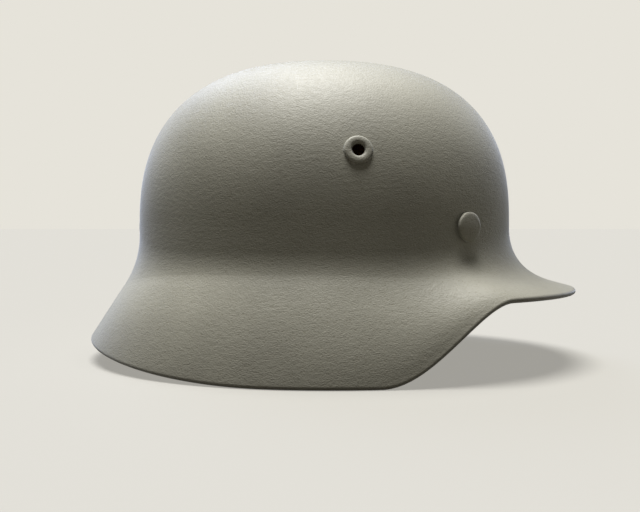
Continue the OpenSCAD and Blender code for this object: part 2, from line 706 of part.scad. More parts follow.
bale_corner = 4;
module wire_corner(r, corner) {
    rotate_extrude(angle = 90) translate([corner, 0]) circle(r = r, $fn = 32);
}
module wire_frame(w, h, r, corner) {
    for (sx = [0, 1]) mirror([sx, 0, 0]) for (sy = [0, 1]) mirror([0, sy, 0]) {
        translate([w / 2 - corner, h / 2 - corner, 0]) wire_corner(r, corner);
        translate([0, h / 2, 0]) rotate([0, 90, 0]) cylinder(r = r, h = w / 2 - corner, $fn = 32);
        translate([w / 2, 0, 0]) rotate([-90, 0, 0]) cylinder(r = r, h = h / 2 - corner, $fn = 32);
    }
}
module bale() {
    translate([0, hinge_y, hinge_z - bale_h / 2]) rotate([90, 0, 0])
        wire_frame(bale_w, bale_h, bale_wire_r, bale_corner);
}
module bale_left() { color("#55585a") in_frame() bale(); }
module bale_right() { color("#55585a") in_frame() mirror([0, 1, 0]) bale(); }

// The strap runs in the plane x = 0 of the skull, as outlines of [y, z] extruded across it.
// Heights of its layers above the table, from the long strap's free end upwards.

tail_mid = strap_floor + strap_t / 2;
short_mid = tail_mid + strap_t + soft_gap;
fold_gap = 0.15;
bar_z = short_mid + strap_t / 2 + fold_gap + buckle_r;
far_y = buckle_y - buckle_l;
far_drop = 2.2;
far_z = bar_z - far_drop;
over_far = far_z + buckle_r + soft_gap + strap_t / 2;
loop_in = bale_wire_r + soft_gap;
leg_y = hinge_y + loop_in + strap_t / 2;
low_mid = tail_mid + 2 * soft_gap;
// The studs sit this share of the way from the bale's lower bar down to the bend
stud_share = 0.67;
stud_z = mix(lower_bar_z, low_mid + strap_bend, stud_share);
stud_shank_r = 1.5;

function arc(cy, cz, r, a0, a1, n) = [for (k = [0:n]) let (a = mix(a0, a1, k / n))
    [cy + r * cos(a), cz + r * sin(a)]];
function side_of(pts, i) = let (n = len(pts), d = pts[min(i + 1, n - 1)] - pts[max(i - 1, 0)])
    [-d[1], d[0]] / norm(d);
function ribbon(pts, t) = concat(
    [for (i = [0:len(pts) - 1]) pts[i] + side_of(pts, i) * t / 2],
    [for (i = [len(pts) - 1:-1:0]) pts[i] - side_of(pts, i) * t / 2]);
module across(w) {
    translate([w / 2, 0, 0]) rotate([90, 0, -90]) linear_extrude(w) mirror([1, 0]) children();
}

// The doubled end that goes round a bale's lower bar and back to its stud

layer = strap_t + 0.04;
doubled_over = 4.2;
function bale_loop(level) = concat(
    [[leg_y - layer, level + strap_bend + 0.1], [leg_y - layer, stud_z + doubled_over]],
    [[hinge_y - loop_in - strap_t / 2, lower_bar_z - bale_wire_r]],
    arc(hinge_y, lower_bar_z, loop_in + strap_t / 2, 180, 0, 10));
function down_and_in(level) =
    arc(leg_y - strap_bend, level + strap_bend, strap_bend, 0, -90, 8);

// The short strap also folds back round the buckle's bar, and is slit there for the prong

fold_steps = [3.5, 10, 24];
fold_height = 1.9;
slit_w = 3.2;
slit_l = 12;
stud_hole_r = stud_shank_r + soft_gap / 2;

function short_path() = concat(
    bale_loop(short_mid), down_and_in(short_mid),
    arc(buckle_y, bar_z, buckle_r + fold_gap + strap_t / 2, 270, 90, 10),
    [[buckle_y + fold_steps[0], bar_z + fold_height], [buckle_y + fold_steps[1], short_mid + layer],
     [buckle_y + fold_steps[2], short_mid + layer]]);

module stud_cut(y) {
    translate([0, y, stud_z]) rotate([90, 0, 0]) translate([0, 0, -2 * layer])
        cylinder(r = stud_hole_r, h = 4 * layer);
}
module strap_short() {
    color("#6b4a30") in_frame() difference() {
        across(strap_w) polygon(ribbon(short_path(), strap_t));
        translate([-slit_w / 2, buckle_y - slit_l / 2, short_mid - strap_t]) cube([slit_w, slit_l, slit_l]);
        stud_cut(leg_y);
    }
}

// The long strap rises over the buckle's far bar from this place, along this way
climb_l = 26;
climb_y = far_y - climb_l - 4;
strap_step = 3;
level_y = -54;
function long_height(y) = y < far_y - strap_step
    ? mix(low_mid, over_far, ease((y - climb_y) / climb_l))
    : mix(over_far, tail_mid, ease((y - far_y) / (buckle_l - 1)));
function long_path() = concat(
    [for (p = concat(bale_loop(low_mid), down_and_in(low_mid))) [-p[0], p[1]]],
    [for (y = [level_y:strap_step:tail_y]) [y, long_height(y)]]);
strap_hole_r = 1.5;
first_hole = 6;
hole_pitch = 8;
strap_holes = [for (k = [0:2]) buckle_y + first_hole + hole_pitch * k];
// The hole that the prong is through, drawn long where the strap slopes
cross_y = buckle_y - 8.5;
cross_l = 9;
module strap_long() {
    color("#6b4a30") in_frame() difference() {
        across(strap_w) polygon(ribbon(long_path(), strap_t));
        translate([-slit_w / 2, cross_y - cross_l / 2, 0]) cube([slit_w, cross_l, 2 * over_far]);
        for (y = strap_holes) translate([0, y, 0]) cylinder(r = strap_hole_r, h = 2 * tail_mid);
        stud_cut(-leg_y);
        tail_corners();
    }
}

// Cuts that bring the free end of the long strap to a blunt point

tail_cut = 7;
module tail_corners() {
    for (side = [-1, 1]) translate([side * strap_w / 2, tail_y, 0]) rotate([0, 0, 45])
        cube([tail_cut, tail_cut, 3 * tail_mid], center = true);
}

stud_head_r = 4.2;
stud_foot_r = 3.8;
stud_foot_t = 1;
module stud() {
    translate([0, leg_y, stud_z]) rotate([-90, 0, 0]) {
        translate([0, 0, strap_t / 2 + seat]) rotate_extrude() polygon([[0, 0],
            [stud_head_r - 0.1, 0], [stud_head_r, 0.4], [stud_head_r - 0.8, 1.1], [0, 1.5]]);
        translate([0, 0, -1.5 * strap_t - stud_foot_t / 2])
            cylinder(r = stud_shank_r, h = 2 * strap_t + stud_foot_t);
        translate([0, 0, -1.5 * strap_t - seat - stud_foot_t]) cylinder(r = stud_foot_r, h = stud_foot_t);
    }
}
module strap_studs() {
    color("#55585a") in_frame() for (side = [0, 1]) mirror([0, side, 0]) stud();
}

// A leather loop that keeps the long strap's free end on the short strap

keeper_t = 1.2;
keeper_w = 8;
keeper_y = buckle_y + 15;
keeper_play = 0.2;
module strap_keeper() {
    low = strap_floor - keeper_play;
    high = short_mid + 1.5 * strap_t + keeper_play;
    room = strap_w + 2 * soft_gap;
    color("#5e4029") in_frame() translate([0, keeper_y, 0]) rotate([-90, 0, 0]) linear_extrude(keeper_w)
        difference() {
            translate([-room / 2 - keeper_t, -high - keeper_t])
                square([room + 2 * keeper_t, high - low + 2 * keeper_t]);
            translate([-room / 2, -high]) square([room, high - low]);
        }
}

buckle_side = 1.3;
buckle_corner = 3;
buckle_w = strap_w + 2 * buckle_r + 2 * buckle_side;
buckle_tilt = atan2(bar_z - far_z, buckle_l);
module buckle_frame() {
    color("#6d6f70") in_frame() translate([0, (buckle_y + far_y) / 2, (bar_z + far_z) / 2])
        rotate([buckle_tilt, 0, 0])
            wire_frame(buckle_w, norm([buckle_l, bar_z - far_z]), buckle_r, buckle_corner);
}

// The prong's eye turns on the buckle's bar, and its tip rests under the far bar

tongue_tilt = atan2(bar_z - far_z + buckle_r + tongue_r + seat, buckle_l);
tongue_play = 0.08;
tongue_wall = 0.9;
tongue_eye_w = 2.6;
tongue_start = buckle_r + 0.4;
module buckle_prong() {
    bore_r = buckle_r + tongue_play;
    color("#6d6f70") in_frame() translate([0, buckle_y, bar_z]) difference() {
        union() {
            rotate([0, 90, 0]) cylinder(r = bore_r + tongue_wall, h = tongue_eye_w, center = true);
            rotate([90 + tongue_tilt, 0, 0]) translate([0, 0, tongue_start])
                cylinder(r = tongue_r, h = buckle_l);
            rotate([tongue_tilt, 0, 0]) translate([0, -buckle_l - tongue_start, 0]) sphere(r = tongue_r);
        }
        rotate([0, 90, 0]) cylinder(r = bore_r, h = 2 * tongue_eye_w, center = true);
    }
}

shell();
pin_right();
pin_left();
pin_rear();
pin_washers();
outer_band();
inner_band();
spring_front();
spring_left();
spring_right();
spring_rear_left();
spring_rear_right();
spring_rivets();
felt_ring();
leather_liner();
leather_clips();
crown_lace();
bale_tab_left();
bale_tab_right();
bale_tab_rivets();
bale_left();
bale_right();
strap_short();
strap_long();
strap_studs();
strap_keeper();
buckle_frame();
buckle_prong();
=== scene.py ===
"""Looks of a pressed steel helmet with a sprung band liner and a buckled chinstrap.

Each class builds one sub-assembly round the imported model, from sizes in millimetres. The skull's
middle is the origin of those sizes, and frame_matrix() takes them into the frame's metres.
"""

import bisect
import logging
import math
from collections.abc import Callable, Sequence
from dataclasses import dataclass
from enum import Enum
from functools import partial

import bmesh
import bpy
from mathutils import Matrix, Vector, noise
from mathutils.bvhtree import BVHTree


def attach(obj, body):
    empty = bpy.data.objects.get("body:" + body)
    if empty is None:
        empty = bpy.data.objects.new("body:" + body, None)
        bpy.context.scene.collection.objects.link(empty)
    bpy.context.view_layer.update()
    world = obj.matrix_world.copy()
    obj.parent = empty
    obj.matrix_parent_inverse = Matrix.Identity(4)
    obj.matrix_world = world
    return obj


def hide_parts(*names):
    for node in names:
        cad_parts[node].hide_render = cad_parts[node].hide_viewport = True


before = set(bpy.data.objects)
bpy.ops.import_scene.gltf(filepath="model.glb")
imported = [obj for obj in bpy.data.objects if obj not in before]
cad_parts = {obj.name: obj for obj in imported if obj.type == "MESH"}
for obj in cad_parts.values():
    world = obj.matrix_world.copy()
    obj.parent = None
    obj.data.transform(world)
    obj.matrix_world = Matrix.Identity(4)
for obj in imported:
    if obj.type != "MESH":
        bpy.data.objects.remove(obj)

LOG = logging.getLogger("helmet")
MM = 0.001
SKULL_X = -7.0
NEAR_UP = Vector((0.02, 0.03, 1.0))
# Edges that bend more than this, in degrees, are shaded as edges
SHADED_EDGE = 38.0
# Points round a punched hole and round a slit, whose long sides need more to be bridged cleanly
HOLE_SIDES = 32
SLIT_SIDES = 64

Shape = bmesh.types.BMesh
Vert = bmesh.types.BMVert
Edge = bmesh.types.BMEdge
Face = bmesh.types.BMFace
Outline = list[tuple[float, float]]
Hole = tuple[float, float, float]
AddNode = Callable[..., bpy.types.Node]


class Body(Enum):
    """Bodies that the pieces ride on."""

    HELMET = "helmet"
    LEFT_BALE = "left_bale"
    RIGHT_BALE = "right_bale"
    CHINSTRAP = "chinstrap"
    PRONG = "prong"


class Metal(Enum):
    """Surfaces that the liner's and the strap's steel parts can have."""

    ZINC = "zinc"
    BLUED = "blued"
    TINNED = "tinned"
    ENAMELLED = "enamelled"


def frame_matrix() -> Matrix:
    """Returns the matrix from the skull's millimetres to the frame's metres."""
    return Matrix.Scale(MM, 4) @ Matrix.Translation((SKULL_X, 0.0, 0.0))


def ease(share: float) -> float:
    """Returns a soft step from 0 to 1."""
    clipped = max(0.0, min(1.0, share))
    return clipped * clipped * (3.0 - 2.0 * clipped)


def mix(first: float, second: float, share: float) -> float:
    """Returns the value between two numbers at a share."""
    return first + (second - first) * share


def power(value: float, exponent: float) -> float:
    """Returns a power that keeps the value's sign."""
    return math.copysign(abs(value) ** exponent, value)


# Colours and nodes


def colour(hex_value: str) -> tuple[float, float, float, float]:
    """Turns an sRGB hex colour, such as "8a8a80", to linear.

    Args:
        hex_value: its six digits.

    Returns:
        Linear red, green and blue, and an alpha of 1.
    """
    parts = []
    for start in (0, 2, 4):
        value = int(hex_value[start : start + 2], 16) / 255.0
        parts.append(value / 12.92 if value <= 0.04045 else ((value + 0.055) / 1.055) ** 2.4)
    return (*parts, 1.0)


def plug(node: bpy.types.Node, links: dict) -> None:
    """Links a node's inputs.

    Args:
        node: the node.
        links: for each input by name or index an output socket, or a node, whose first output counts.
    """
    for name, source in links.items():
        output = source.outputs[0] if isinstance(source, bpy.types.Node) else source
        node.id_data.links.new(output, node.inputs[name])


def add(
    tree: bpy.types.NodeTree, kind: str, settings: dict | None = None, links: dict | None = None
) -> bpy.types.Node:
    """Adds a node with its settings and links.

    Args:
        tree: the material's node tree.
        kind: the node's type, without its common first part.
        settings: values for properties, or for inputs by name or index; "stops" are a colour ramp's
            places from 0 to 1, each with an sRGB hex colour.
        links: what its inputs read, as plug() takes it.

    Returns:
        The new node.
    """
    node = tree.nodes.new("ShaderNode" + kind)
    for name, value in (settings or {}).items():
        if name == "stops":
            elements = node.color_ramp.elements
            while len(elements) < len(value):
                elements.new(0.5)
            for element, (position, shade) in zip(elements, value):
                element.position = position
                element.color = colour(shade)
        elif isinstance(name, str) and hasattr(node, name):
            setattr(node, name, value)
        else:
            node.inputs[name].default_value = value
    plug(node, links or {})
    return node


def new_material(
    name: str, roughness: float, metallic: float = 0.0, **sockets: float | Sequence[float]
) -> tuple[bpy.types.Material, AddNode, bpy.types.Node, bpy.types.NodeSocket]:
    """Starts a material.

    Args:
        name: the material's name.
        roughness: the shader's roughness.
        metallic: the shader's metallic value.
        **sockets: other values of the shader's own sockets, with _ for a space.

    Returns:
        The material, add() for its tree, its shader and its Object coordinates.
    """
    material = bpy.data.materials.new(name)
    material.use_nodes = True
    put = partial(add, material.node_tree)
    shader = material.node_tree.nodes["Principled BSDF"]
    shader.inputs["Roughness"].default_value = roughness
    shader.inputs["Metallic"].default_value = metallic
    for socket, value in sockets.items():
        shader.inputs[socket.replace("_", " ")].default_value = value
    return material, put, shader, put("TexCoord").outputs["Object"]


def per_mm(size: float) -> float:
    """Returns a texture's scale for a feature of that size in millimetres."""
    return 1.0 / (size * MM)


@dataclass(frozen=True)
class SprayedMattPaint:
    """Matt alkyd paint sprayed on pressed steel: broad soft sheen, fine orange peel, small nibs.

    It is darker towards the rim, with grime and painted shade; the visor is darkened with painted shade, and
    the peel's pits with painted shade.
    """

    base: str = "a19e8e"
    pale: str = "a8a595"
    dark: str = "999687"
    sheen_tint: str = "d3e1ff"
    sheen: float = 0.38
    # Grime and painted shade towards the rim: its tone, how strong it is, and the heights where it starts and
    # where it is full
    grime_and_shade_tone: str = "6b675b"
    grime_and_shade: float = 0.42
    grime_and_shade_top: float = 40.0
    grime_and_shade_full: float = 4.0
    # Painted shade on the visor: its tone, how strong it is, where it starts and ends along the front, and
    # the heights where it starts and where it is full
    visor_shade_tone: str = "7a766c"
    visor_shade: float = 0.46
    visor_shade_from: float = 25.0
    visor_shade_to: float = 120.0
    visor_shade_top: float = 100.0
    visor_shade_full: float = 60.0
    # The tone of the painted shade in the peel's pits
    pit_shade_tone: str = "dbd8ce"
    roughness: float = 0.56
    peel_size: float = 0.95
    ripple_size: float = 3.2
    patch_size: float = 45.0
    nib_size: float = 9.0

    def build(self) -> bpy.types.Material:
        """Builds the paint's node tree.

        Returns:
            The material.
        """
        material, put, shader, place = new_material(
            "matt alkyd paint, sprayed",
            self.roughness,
            Sheen_Weight=self.sheen,
            Sheen_Roughness=0.4,
            Sheen_Tint=colour(self.sheen_tint),
        )
        patches = put("TexNoise", {"Scale": per_mm(self.patch_size), "Detail": 3.0}, {"Vector": place})
        stops = [(0.3, self.dark), (0.5, self.base), (0.72, self.pale)]
        shade = put("ValToRGB", {"stops": stops}, {"Fac": patches})
        flat = put("Mapping", {"Scale": (1.0, 1.0, 1.7)}, {"Vector": place})
        peel = put("TexNoise", {"Scale": per_mm(self.peel_size), "Detail": 3.0}, {"Vector": flat})
        ripple = put("TexNoise", {"Scale": per_mm(self.ripple_size), "Detail": 2.0}, {"Vector": flat})
        nibs = put("TexVoronoi", {"Scale": per_mm(self.nib_size)}, {"Vector": place})
        nib = put("MapRange", {"From Min": 0.09, "From Max": 0.04}, {"Value": nibs})
        # Painted shade in the pits of the orange peel
        pit_shade = put("MapRange", {"From Min": 0.42, "From Max": 0.3}, {"Value": peel})
        where = put("SeparateXYZ", links={"Vector": place}).outputs
        # Masks for the grime and painted shade towards the rim, and for the painted shade on the visor, along
        # the front and below a height
        spans = (
            ("Z", self.grime_and_shade_top, self.grime_and_shade_full, self.grime_and_shade),
            ("X", self.visor_shade_from, self.visor_shade_to, self.visor_shade),
            ("Z", self.visor_shade_top, self.visor_shade_full, 1.0),
        )
        amounts = []
        for way, none, full, most in spans:
            span = {"From Min": none * MM, "From Max": full * MM, "To Max": most}
            amounts.append(put("MapRange", span, {"Value": where[way]}))
        grimed_and_shaded, visor_shade_along, visor_shade_below = amounts
        visor_shade_mask = put("Math", {"operation": "MULTIPLY"}, {0: visor_shade_along, 1: visor_shade_below})
        # Multiplies in the grime and painted shade at the rim, the painted shade on the visor and the painted
        # shade in the peel's pits
        for amount, tone in ((grimed_and_shaded, self.grime_and_shade_tone), (visor_shade_mask, self.visor_shade_tone), (pit_shade, self.pit_shade_tone)):
            darker = {"blend_type": "MULTIPLY", "Color2": colour(tone)}
            shade = put("MixRGB", darker, {"Fac": amount, "Color1": shade})
        spread = {"To Min": self.roughness - 0.06, "To Max": self.roughness + 0.08}
        rough = put("MapRange", spread, {"Value": ripple})
        normal = put("Bump", {"Strength": 0.6, "Distance": 0.25 * MM}, {"Height": ripple})
        for strength, depth, height in ((1.0, 0.19, peel), (0.35, 0.1, nib)):
            raised = {"Strength": strength, "Distance": depth * MM}
            normal = put("Bump", raised, {"Height": height, "Normal": normal})
        plug(shader, {"Base Color": shade, "Roughness": rough, "Normal": normal})
        return material


@dataclass(frozen=True)
class WorkedSteel:
    """Rolled or drawn steel: a metal with streaks along it, blotches of its coat and rubbed places."""

    name: str
    base: str
    pale: str
    roughness: float
    metallic: float = 1.0
    blotch_size: float = 6.0
    streak_size: float = 0.8

    def build(self) -> bpy.types.Material:
        """Builds the steel's node tree.

        Returns:
            The material.
        """
        material, put, shader, place = new_material(self.name, self.roughness, self.metallic)
        cells = put("TexVoronoi", {"Scale": per_mm(self.blotch_size)}, {"Vector": place})
        cloud = put("TexNoise", {"Scale": per_mm(self.blotch_size * 3.0), "Detail": 4.0}, {"Vector": place})
        both = put("Math", {"operation": "MULTIPLY_ADD", 1: 0.35}, {0: cells, 2: cloud})
        tint = put("ValToRGB", {"stops": [(0.3, self.base), (0.95, self.pale)]}, {"Fac": both})
        drawn = put("Mapping", {"Scale": (0.25, 0.25, 2.0)}, {"Vector": place})
        streak = put("TexNoise", {"Scale": per_mm(self.streak_size), "Detail": 2.0}, {"Vector": drawn})
        spread = {"To Min": self.roughness - 0.1, "To Max": self.roughness + 0.14}
        rough = put("MapRange", spread, {"Value": streak})
        bump = put("Bump", {"Strength": 0.3, "Distance": 0.04 * MM}, {"Height": streak})
        plug(shader, {"Base Color": tint, "Roughness": rough, "Normal": bump})
        return material


@dataclass(frozen=True)
class TannedLeather:
    """Vegetable-tanned leather: pebbled grain with painted shade in its grooves, soft creases, darker where
    it was handled.
    """

    name: str
    base: str
    pale: str
    # The dark tone also gives the painted shade in the grain's grooves
    dark: str
    roughness: float
    grain_size: float = 1.1
    crease_size: float = 14.0
    cloud_size: float = 22.0
    edge_groove: float = 0.0

    def build(self) -> bpy.types.Material:
        """Builds the leather's node tree.

        Returns:
            The material.
        """
        material, put, shader, place = new_material(self.name, self.roughness, Specular_IOR_Level=0.4)
        cloud = put("TexNoise", {"Scale": per_mm(self.cloud_size), "Detail": 5.0}, {"Vector": place})
        stops = [(0.3, self.dark), (0.5, self.base), (0.75, self.pale)]
        tint = put("ValToRGB", {"stops": stops}, {"Fac": cloud})
        cells = {"feature": "DISTANCE_TO_EDGE", "Scale": per_mm(self.grain_size)}
        grain = put("TexVoronoi", cells, {"Vector": place})
        pebble = put("MapRange", {"From Max": 0.25}, {"Value": grain})
        # Painted shade in the grain's grooves, which are darker than the cells between them
        groove_shade = put("ValToRGB", {"stops": [(0.0, self.dark), (0.5, "ffffff")]}, {"Fac": pebble})
        shaded = put("MixRGB", {"blend_type": "MULTIPLY", "Fac": 0.3}, {"Color1": tint, "Color2": groove_shade})
        folds = {"Scale": per_mm(self.crease_size), "Detail": 3.0, "Distortion": 0.6}
        crease = put("TexNoise", folds, {"Vector": place})
        low = put("Bump", {"Strength": 0.5, "Distance": 0.8 * MM}, {"Height": crease})
        normal = put("Bump", {"Strength": 0.6, "Distance": 0.12 * MM}, {"Height": pebble, "Normal": low})
        if self.edge_groove:
            normal = self.pressed_line(put, normal)
        plug(shader, {"Base Color": shaded, "Normal": normal})
        return material

    def pressed_line(self, put: AddNode, normal: bpy.types.Node) -> bpy.types.Node:
        """Adds the line that a creasing iron leaves along both edges.

        Args:
            put: adds a node to the material.
            normal: the bump so far.

        Returns:
            The bump with the line in it.
        """
        across = put("SeparateXYZ", links={"Vector": put("UVMap")}).outputs["Y"]
        side = put("Math", {"operation": "ABSOLUTE"}, {0: across})
        off = put("Math", {"operation": "SUBTRACT", 1: self.edge_groove * MM}, {0: side})
        away = put("Math", {"operation": "ABSOLUTE"}, {0: off})
        line = put("MapRange", {"From Max": 0.4 * MM}, {"Value": away})
        return put("Bump", {"Strength": 0.8, "Distance": 0.25 * MM}, {"Height": line, "Normal": normal})


@dataclass(frozen=True)
class WoolFelt:
    """Pressed wool felt: no gloss, tangled fibres and small light hairs."""

    base: str = "77705c"
    pale: str = "8f8873"
    dark: str = "5c5644"
    fibre_size: float = 0.9

    def build(self) -> bpy.types.Material:
        """Builds the felt's node tree.

        Returns:
            The material.
        """
        material, put, shader, place = new_material(
            "pressed wool felt", 0.95, Sheen_Weight=0.35, Sheen_Roughness=0.6, Specular_IOR_Level=0.15
        )
        tangle = {"Scale": per_mm(self.fibre_size), "Detail": 6.0, "Distortion": 2.5}
        fibres = put("TexNoise", tangle, {"Vector": place})
        stops = [(0.3, self.dark), (0.5, self.base), (0.7, self.pale)]
        tint = put("ValToRGB", {"stops": stops}, {"Fac": fibres})
        bump = put("Bump", {"Strength": 0.9, "Distance": 0.3 * MM}, {"Height": fibres})
        plug(shader, {"Base Color": tint, "Normal": bump})
        return material


@dataclass(frozen=True)
class BraidedCotton:
    """Braided cotton lace: strands that cross along it, drawn wider than real ones so that they show, with
    painted shade between them.
    """

    name: str = "braided cotton"
    base: str = "a3916f"
    # The tone of the painted shade between the strands
    dark: str = "6d5f45"
    strand: float = 1.1
    strand_angle: float = 38.0

    def build(self) -> bpy.types.Material:
        """Builds the cotton's node tree.

        Returns:
            The material.
        """
        material, put, shader, _ = new_material(self.name, 0.9, Sheen_Weight=0.25, Specular_IOR_Level=0.2)
        flow = put("UVMap")
        strands = {"Scale": per_mm(self.strand) / 6.0, "Distortion": 0.4, "Detail": 1.0}
        heights = []
        for turn in (self.strand_angle, -self.strand_angle):
            lie = put("Mapping", {"Rotation": (0.0, 0.0, math.radians(turn))}, {"Vector": flow})
            heights.append(put("TexWave", strands, {"Vector": lie}).outputs["Fac"])
        over = put("Math", {"operation": "MAXIMUM"}, {0: heights[0], 1: heights[1]})
        # Painted shade: the gaps between the strands are darker
        tint = put("ValToRGB", {"stops": [(0.25, self.dark), (0.8, self.base)]}, {"Fac": over})
        bump = put("Bump", {"Strength": 0.8, "Distance": 0.25 * MM}, {"Height": over})
        plug(shader, {"Base Color": tint, "Normal": bump})
        return material


METALS = {
    # Cool pale grey with a broken gloss
    Metal.ZINC: WorkedSteel("zinc-coated steel strip, rolled", "85898b", "a9acac", 0.46),
    # Dark blue-grey with fine streaks
    Metal.BLUED: WorkedSteel("blued spring steel, rolled", "3d4146", "575d63", 0.36, streak_size=0.6),
    # Warm white metal with small spots
    Metal.TINNED: WorkedSteel("tinned steel, headed", "8e8f8c", "b4b4af", 0.38, blotch_size=2.5),
    # A thin dark grey coat that hardly looks like metal
    Metal.ENAMELLED: WorkedSteel(
        "stove-enamelled steel wire", "4c4f50", "63666a", 0.42, metallic=0.15, blotch_size=3.0
    ),
}

LINER_LEATHER = TannedLeather(
    "vegetable-tanned sheepskin, liner", "9a6d42", "b0855a", "7d5330", 0.62, grain_size=1.3, crease_size=16.0
)
STRAP_LEATHER = TannedLeather(
    "vegetable-tanned cowhide, strap", "5d3d27", "6e4b31", "47301f", 0.48, grain_size=0.9, edge_groove=6.1
)
LINEN_THREAD = BraidedCotton("waxed linen thread", "c2b28a", "8d7f5e", strand=0.5)


# Mesh making


@dataclass(frozen=True)
class Coat:
    """A built material and the name of the slot that it is meant for, which nothing in this script reads."""

    material: bpy.types.Material
    slot: str


def finish_piece(
    shape: Shape,
    name: str,
    body: Body,
    coat: Coat,
    nodes: Sequence[str] = (),
    in_metres: bool = False,
) -> bpy.types.Object:
    """Makes a piece of a shape.

    Args:
        shape: the shape, which is freed.
        name: the piece's name.
        body: the body that it rides on.
        coat: its finish.
        nodes: the CAD nodes that it stands for.
        in_metres: whether it is already in the frame's metres, and not in the skull's millimetres.

    Returns:
        The new object.
    """
    if not in_metres:
        bmesh.ops.transform(shape, matrix=frame_matrix(), verts=shape.verts[:])
    mesh = bpy.data.meshes.new(name)
    shape.to_mesh(mesh)
    shape.free()
    mesh.shade_smooth()
    mesh.set_sharp_from_angle(angle=math.radians(SHADED_EDGE))
    mesh.materials.append(coat.material)
    piece = bpy.data.objects.new(name, mesh)
    bpy.context.scene.collection.objects.link(piece)
    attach(piece, body.value)
    if nodes:
        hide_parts(*nodes)
    LOG.info("%s: %d faces on %s", name, len(mesh.polygons), body.value)
    return piece


def of_kind(items: Sequence, kind: type) -> list:
    """Returns the vertices, the edges or the faces among an operator's results."""
    return [item for item in items if isinstance(item, kind)]


def standing(spot: Vector, axis: Vector) -> Matrix:
    """Returns the matrix that takes the local +Z to an axis through a spot."""
    return Matrix.Translation(spot) @ axis.to_track_quat("Z", "Y").to_matrix().to_4x4()


def merge(shape: Shape, distance: float) -> None:
    """Merges vertices that are nearer to each other than a distance."""
    bmesh.ops.remove_doubles(shape, verts=shape.verts[:], dist=distance)


def turn_outwards(shape: Shape) -> None:
    """Makes all faces point outwards.

    Args:
        shape: a closed shape, or a sheet.
    """
    shape.normal_update()
    bmesh.ops.recalc_face_normals(shape, faces=shape.faces[:])
    shape.normal_update()


def round_edges(shape: Shape, width: float, segments: int, angle: float) -> None:
    """Bevels the edges that are sharper than an angle.

    Args:
        shape: the shape.
        width: how far the bevel reaches on each side, in the shape's own unit.
        segments: faces across the bevel.
        angle: the least angle between faces, in degrees.
    """
    shape.normal_update()
    limit = math.radians(angle)
    sharp = [e for e in shape.edges if e.is_manifold and e.calc_face_angle(0.0) > limit]
    bmesh.ops.bevel(
        shape,
        geom=sharp,
        offset=width,
        offset_type="OFFSET",
        segments=segments,
        profile=0.5,
        affect="EDGES",
        clamp_overlap=True,
        material=-1,
    )


def thicken(shape: Shape, thickness: float, centred: bool = False) -> None:
    """Gives a sheet its wall, on its inner side or on both sides.

    Args:
        shape: the sheet, with its faces pointing outwards.
        thickness: the wall's thickness in the shape's own unit.
        centred: whether the sheet ends up in the middle of its wall.
    """
    shape.normal_update()
    if centred:
        moves = [(vert, vert.normal * thickness / 2.0) for vert in shape.verts]
        for vert, step in moves:
            vert.co += step
    bmesh.ops.solidify(shape, geom=shape.faces[:], thickness=thickness)
    shape.normal_update()


def ring_sheet(
    rows: int,
    columns: int,
    place: Callable[[int, int], Vector],
    is_open: Callable[[int, int], bool] | None = None,
) -> Shape:
    """Spins a line into a closed ring of quads and puts each vertex in its place.

    Args:
        rows: number of vertices from one open end to the other.
        columns: number of vertices round the ring.
        place: gives the point of a row and a column.
        is_open: tells whether the face above a row and after a column is left out.

    Returns:
        The sheet.
    """
    shape = bmesh.new()
    line = [shape.verts.new((1.0, 0.0, float(row))) for row in range(rows)]
    edges = [shape.edges.new(pair) for pair in zip(line, line[1:])]
    bmesh.ops.spin(
        shape,
        geom=line + edges,
        cent=(0.0, 0.0, 0.0),
        axis=(0.0, 0.0, 1.0),
        angle=math.tau,
        steps=columns,
        use_merge=True,
    )
    merge(shape, 1e-5)

    def column_of(point: Vector) -> float:
        """Returns how many columns round the ring a point is."""
        return math.atan2(point.y, point.x) / math.tau * columns % columns

    if is_open:
        middles = [(face, face.calc_center_median()) for face in shape.faces]
        left_out = [face for face, at in middles if is_open(math.floor(at.z), math.floor(column_of(at)))]
        bmesh.ops.delete(shape, geom=left_out, context="FACES")
    for vert in shape.verts:
        vert.co = place(round(vert.co.z), round(column_of(vert.co)) % columns)
    return shape


def smooth_path(points: Sequence[Vector], steps: int, closed: bool = False) -> list[Vector]:
    """Runs a smooth curve through points.

    Args:
        points: the points that it passes.
        steps: number of new points for each gap.
        closed: whether the curve closes on itself.

    Returns:
        The curve's points.
    """
    count = len(points)
    curve = []
    for index in range(count if closed else count - 1):
        around = []
        for step in (-1, 0, 1, 2):
            place = index + step
            around.append(points[place % count] if closed else points[max(0, min(count - 1, place))])
        before, start, end, after = around
        for step in range(steps):
            t = step / steps
            curve.append(
                start
                + (end - before) * (t / 2.0)
                + (before * 2.0 - start * 5.0 + end * 4.0 - after) * (t * t / 2.0)
                + (start * 3.0 - before - end * 3.0 + after) * (t**3 / 2.0)
            )
    return curve if closed else [*curve, points[-1].copy()]


def resample(path: Sequence[Vector], step: float, smoothing: int) -> list[Vector]:
    """Spaces the points of a path evenly and softens its corners.

    Args:
        path: the points.
        step: the wanted distance between points.
        smoothing: how many times each inner point moves towards its neighbours.

    Returns:
        The new points, with both ends kept.
    """
    whole = MeasuredPath(list(path))
    count = max(2, round(whole.length / step))
    points = [whole.at(whole.length * index / count)[0] for index in range(count + 1)]
    for _ in range(smoothing):
        around = zip(points, points[1:], points[2:])
        inner = [point.lerp((before + after) / 2.0, 0.5) for before, point, after in around]
        points = [points[0], *inner, points[-1]]
    return points


